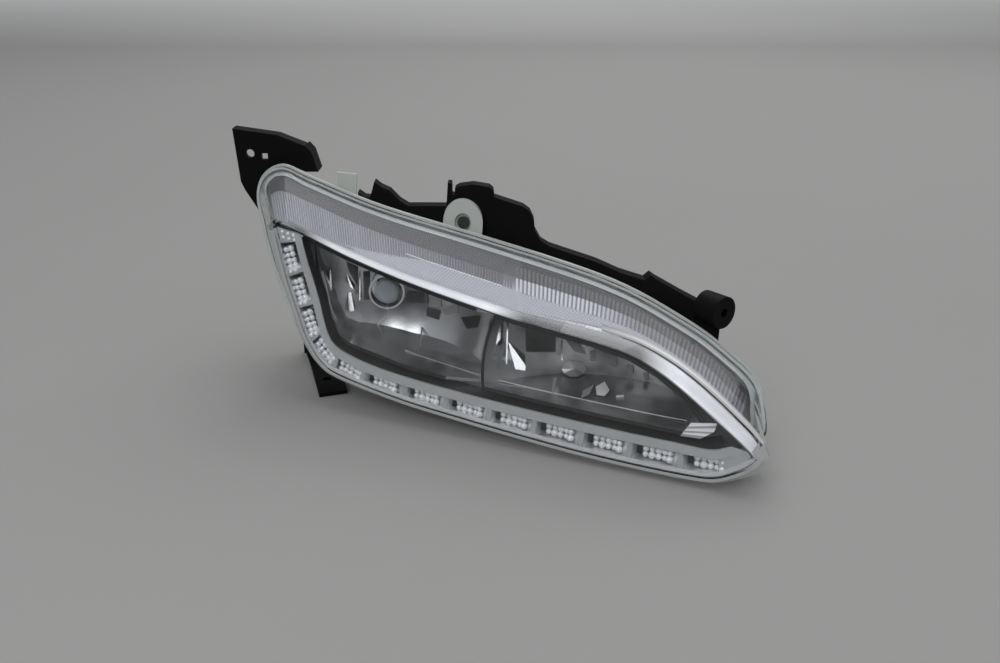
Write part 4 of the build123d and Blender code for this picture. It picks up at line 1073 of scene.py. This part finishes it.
def aimed(outline):
    """Outline on one plane that leans back toward the light and stands clear of the bowl."""
    places = [spot(*place) for place in on_bowl(outline)]
    middle = sum(places, Vector()) / len(places)
    shifts = [-(place - middle).dot(FACET_AIM) / (FACET_AIM.y * MM) for place in places]
    clear_by = max(shifts) + FACET_PROUD
    return [(*point, bowl_depth(*point) + shift - clear_by) for point, shift in zip(outline, shifts)]


# Outlines of facets and panels: points on the bowls (along, up) or on other faces (along, up, depth). The
# panels are painted reflections: the bright ones painted highlights, the pale ones lighter reflections and
# the dark ones dark reflections
MIRROR_FACETS = [
    [(-120.3, 59.5), (-117.9, 59.7), (-114.2, 48.5), (-118.1, 47.8)],
    [(-133.5, 79.8), (-132.3, 79.6), (-129.6, 59.0), (-130.9, 58.9)],
    [(-121.6, 73.4), (-114.9, 63.7), (-118.1, 65.5)],
    [(-112.2, 73.9), (-111.5, 73.8), (-109.8, 56.3), (-110.5, 56.5)],
    [(-61.0, 59.7), (-59.7, 59.8), (-59.2, 51.3), (-60.5, 51.1)],
    [(-11.7, 51.2), (-3.3, 61.6), (-3.1, 47.5), (-8.4, 41.0)],
    [(0.3, 62.4), (1.3, 63.6), (2.1, 40.3), (1.4, 40.5)],
    [(1.7, 52.2), (15.1, 39.1), (14.8, 36.4), (8.1, 36.9)],
    [(40.0, 46.4), (41.3, 46.9), (42.2, 35.5), (40.8, 35.6)],
    [(41.6, 49.0), (53.7, 44.4), (58.0, 39.8), (49.9, 41.2)],
    [(61.8, 38.4), (66.4, 40.0), (66.5, 33.3), (62.4, 33.2)],
    [(71.3, 38.8), (80.4, 36.2), (81.0, 29.7), (72.7, 32.3)],
    [(88.2, 31.1), (92.7, 31.7), (92.5, 26.5), (88.6, 27.3)],
    [(99.6, 27.7), (103.3, 28.4), (102.6, 23.6), (101.1, 23.3)],
]
PAINTED_HIGHLIGHT_PANELS = [
    [(65.5, 23.5, 50.0), (72.4, 23.3, 60.5), (74.4, 23.2, 48.5), (70.1, 23.4, 38.0), (64.9, 23.4, 37.2)],
    [(78.1, 23.2, 42.2), (83.5, 23.0, 45.8), (83.1, 23.0, 42.0), (78.4, 23.1, 39.8)],
    [(119.5, 28.6, 10.8), (134.1, 31.2, 10.8), (134.0, 29.6, 10.8), (118.0, 26.0, 10.8)],
    [(117.2, 24.6, 10.8), (133.8, 28.0, 10.8), (133.0, 25.6, 10.8), (116.2, 23.2, 10.8)],
    [(115.6, 22.0, 10.8), (131.2, 24.2, 10.8), (128.6, 22.2, 10.8), (115.0, 20.9, 10.8)],
]
PAINTED_REFLECTION_PANELS = [
    [(-59.0, 59.5), (-49.4, 58.7), (-48.3, 49.4), (-57.8, 49.0)],
    [(-47.7, 47.6), (-36.2, 55.4), (-34.5, 47.5), (-44.8, 44.4)],
    [(-63.0, 34.1), (-61.9, 34.2), (-60.9, 30.3, 49.0), (-61.9, 30.4, 48.2)],
    [(-97.5, 36.0), (-91.2, 41.1), (-90.6, 40.2), (-96.4, 34.7)],
    [
        (60.4, 25.9), (58.9, 23.6, 67.2), (54.0, 23.7, 60.0), (48.4, 23.9, 57.2), (44.3, 24.1, 60.0),
        (42.4, 26.4), (43.8, 29.7), (48.1, 31.6), (53.7, 31.5), (58.3, 29.3),
    ],
    [(56.2, 23.7, 40.0), (64.5, 23.4, 52.5), (59.8, 23.6, 36.0), (54.0, 23.7, 28.0)],
    [(36.6, 24.4, 49.2), (38.8, 24.3, 51.8), (35.8, 24.4, 27.2), (34.1, 24.4, 26.5)],
    [(118.0, 26.0, 10.8), (134.0, 29.6, 10.8), (133.8, 28.0, 10.8), (117.2, 24.6, 10.8)],
    [(116.2, 23.2, 10.8), (133.0, 25.6, 10.8), (131.2, 24.2, 10.8), (115.6, 22.0, 10.8)],
    [(115.0, 20.9, 10.8), (128.6, 22.2, 10.8), (126.0, 20.2, 10.8), (114.2, 19.6, 10.8)],
]
PAINTED_DARK_PANELS = [
    [(-59.8, 47.9), (-48.7, 47.0), (-49.8, 40.5), (-59.4, 42.0)],
    [(-4.8, 44.5), (-1.3, 49.0), (0.6, 36.4)],
    [(-122.1, 82.1), (-113.3, 77.1), (-113.7, 63.0), (-119.8, 74.0)],
    [(-109.5, 73.0), (-104.4, 73.3), (-103.7, 52.7), (-108.1, 52.5)],
    [(-75.1, 58.3), (-62.1, 58.1), (-61.6, 50.5), (-76.8, 50.5)],
    [(-32.8, 45.6), (-18.3, 51.6), (-19.7, 43.2), (-27.7, 39.7)],
    [(14.0, 62.8), (35.5, 54.2), (37.1, 38.4), (16.0, 41.0)],
]
for name, outlines, finish in (
    ("reflector_painted_highlights", PAINTED_HIGHLIGHT_PANELS, panel_painted_highlight),
    ("reflector_painted_reflections", PAINTED_REFLECTION_PANELS, panel_painted_reflection),
    ("reflector_painted_darks", PAINTED_DARK_PANELS, panel_painted_dark),
):
    seats = [on_bowl(outline) for outline in outlines]
    fronts = [moved(seat, PANEL_RISE, -PANEL_PROUD) for seat in seats]
    backs = [moved(seat, -PANEL_RISE, PANEL_SEAT) for seat in seats]
    add_piece(panels(name, fronts, backs), finish, "bright_coat")

facet_fronts = [aimed(outline) for outline in MIRROR_FACETS]
facet_backs = [moved(on_bowl(outline), 0.0, PANEL_SEAT) for outline in MIRROR_FACETS]
add_piece(panels("reflector_mirror_facets", facet_fronts, facet_backs), facet_mirror, "bright_coat")

# Bead lines on the reflector's walls, rods in the pale painted-reflection finish: points (along, up, depth)
# and radii
WALL_BEAD = [
    (-72.0, 31.2, 34.5), (-52.3, 29.3, 31.5), (-25.5, 27.2, 29.0), (-2.4, 26.7, 25.0), (19.0, 24.7, 27.0),
    (43.7, 23.9, 27.0), (72.4, 22.9, 27.5), (101.8, 22.3, 27.5), (120.4, 22.9, 26.2),
]
SIDE_BEAD = [(-136.4, 81.8, 18.0), (-133.3, 74.4, 17.2), (-128.0, 59.1, 15.0), (-123.7, 49.1, 19.2)]
WALL_BEAD_RADIUS = 0.28
SIDE_BEAD_RADIUS = 0.35
add_piece(rod("reflector_wall_bead", WALL_BEAD, WALL_BEAD_RADIUS), panel_painted_reflection, "bright_coat")
add_piece(rod("reflector_side_bead", SIDE_BEAD, SIDE_BEAD_RADIUS), panel_painted_reflection, "bright_coat")

# Coated end of the bulb: its place in millimetres and its profile of (radius, depth) points from pole to pole
BULB_TIP = Vector((100.12, -67.38, -79.06))
TIP_STEPS = 48
TIP_PROFILE = [(0.0, -0.6), (5.6, -0.5), (7.4, 0.0), (8.2, 1.2), (8.2, 5.0), (6.9, 5.4), (0.0, 5.4)]


def turned(name, profile, middle, count):
    """Closed turned shape on a line straight back."""
    points = [middle + Vector((0.0, profile[0][1], 0.0)), middle + Vector((0.0, profile[-1][1], 0.0))]
    for radius, depth in profile[1:-1]:
        for step in range(count):
            turn = 2 * pi * step / count
            points.append(middle + Vector((radius * cos(turn), depth, radius * sin(turn))))
    faces = []
    last = 2 + count * (len(profile) - 3)
    for step in range(count):
        after = (step + 1) % count
        faces.append((0, 2 + step, 2 + after))
        faces.append((1, last + after, last + step))
        for start in range(2, last, count):
            faces.append((start + step, start + after, start + count + after, start + count + step))
    return new_mesh(name, [point * MM for point in points], faces)


add_piece(turned("bulb_tip_coat", TIP_PROFILE, BULB_TIP, TIP_STEPS), bulb_tip, "silver_paint")

# Floor: its size, how far back its middle lies and where painted light makes it paler, in metres
FLOOR_SIZE = 8.0
FLOOR_BACK = 2.0
PAINTED_LIGHT_START, PAINTED_LIGHT_END = 0.1, 1.9


def floor_painted_light():
    """Floor finish: grey, a little mottled, and paler toward the back as painted light."""
    finish = Finish("floor_painted_light")
    slow = finish.noise(2.0)
    far = finish.step(finish.along((0.0, 1.0, 0.0), grey(0.0)), PAINTED_LIGHT_START, PAINTED_LIGHT_END)
    near_grey = finish.blend(slow, (0.385, 0.385, 0.375), (0.405, 0.405, 0.395))
    values = {
        "Base Color": finish.blend(far, near_grey, (0.95, 0.95, 0.94)),
        "Roughness": 0.8,
        "Specular IOR Level": 0.15,
    }
    return finish.done(finish.surface(values))


bpy.ops.mesh.primitive_plane_add(size=FLOOR_SIZE, location=(cad_low[0], FLOOR_BACK, cad_low[2]))
floor = bpy.context.object
floor.name = "floor"
dress(floor, floor_painted_light())


def area_lamp(name, place, aim, size, power):
    """Soft square lamp at a place in metres, turned to its aim."""
    data = bpy.data.lights.new(name, "AREA")
    data.size = size
    data.energy = power
    lamp = bpy.data.objects.new(name, data)
    lamp.location = place
    lamp.rotation_euler = (Vector(aim) - Vector(place)).to_track_quat("-Z", "Y").to_euler()
    bpy.context.scene.collection.objects.link(lamp)


middle = (Vector(cad_low) + Vector(cad_high)) / 2
area_lamp("ceiling_lamp", (0.9, 1.0, 1.9), (0.5, 0.4, 0.0), 3.0, 24.0)
area_lamp("front_lamp", (-0.3, -1.3, 1.1), middle, 1.0, 7.5)
area_lamp("backdrop_lamp", (0.2, 1.9, 1.9), (0.2, 1.8, 0.0), 1.0, 5.0)

# Room: its light grows from the horizon to a height, as the upward part of the direction
ROOM_LEAST, ROOM_MOST = 0.14, 0.54
ROOM_HEIGHT = 0.9
ROOM_COLOUR = (0.80, 0.81, 0.83, 1.0)
world = bpy.data.worlds.new("room")
world.use_nodes = True
room = Graph()
room.tree = world.node_tree
room.tree.nodes.clear()
toward = room.node("ShaderNodeTexCoord", {}, {}, "Generated")
height = room.node("ShaderNodeSeparateXYZ", {}, {0: toward}, "Z")
limits = {"From Min": 0.0, "From Max": ROOM_HEIGHT, "To Min": ROOM_LEAST, "To Max": ROOM_MOST}
level = room.node("ShaderNodeMapRange", {}, dict(limits, Value=height))
light = room.node("ShaderNodeBackground", {}, {"Color": ROOM_COLOUR, "Strength": level})
room.node("ShaderNodeOutputWorld", {}, {"Surface": light})
bpy.context.scene.world = world
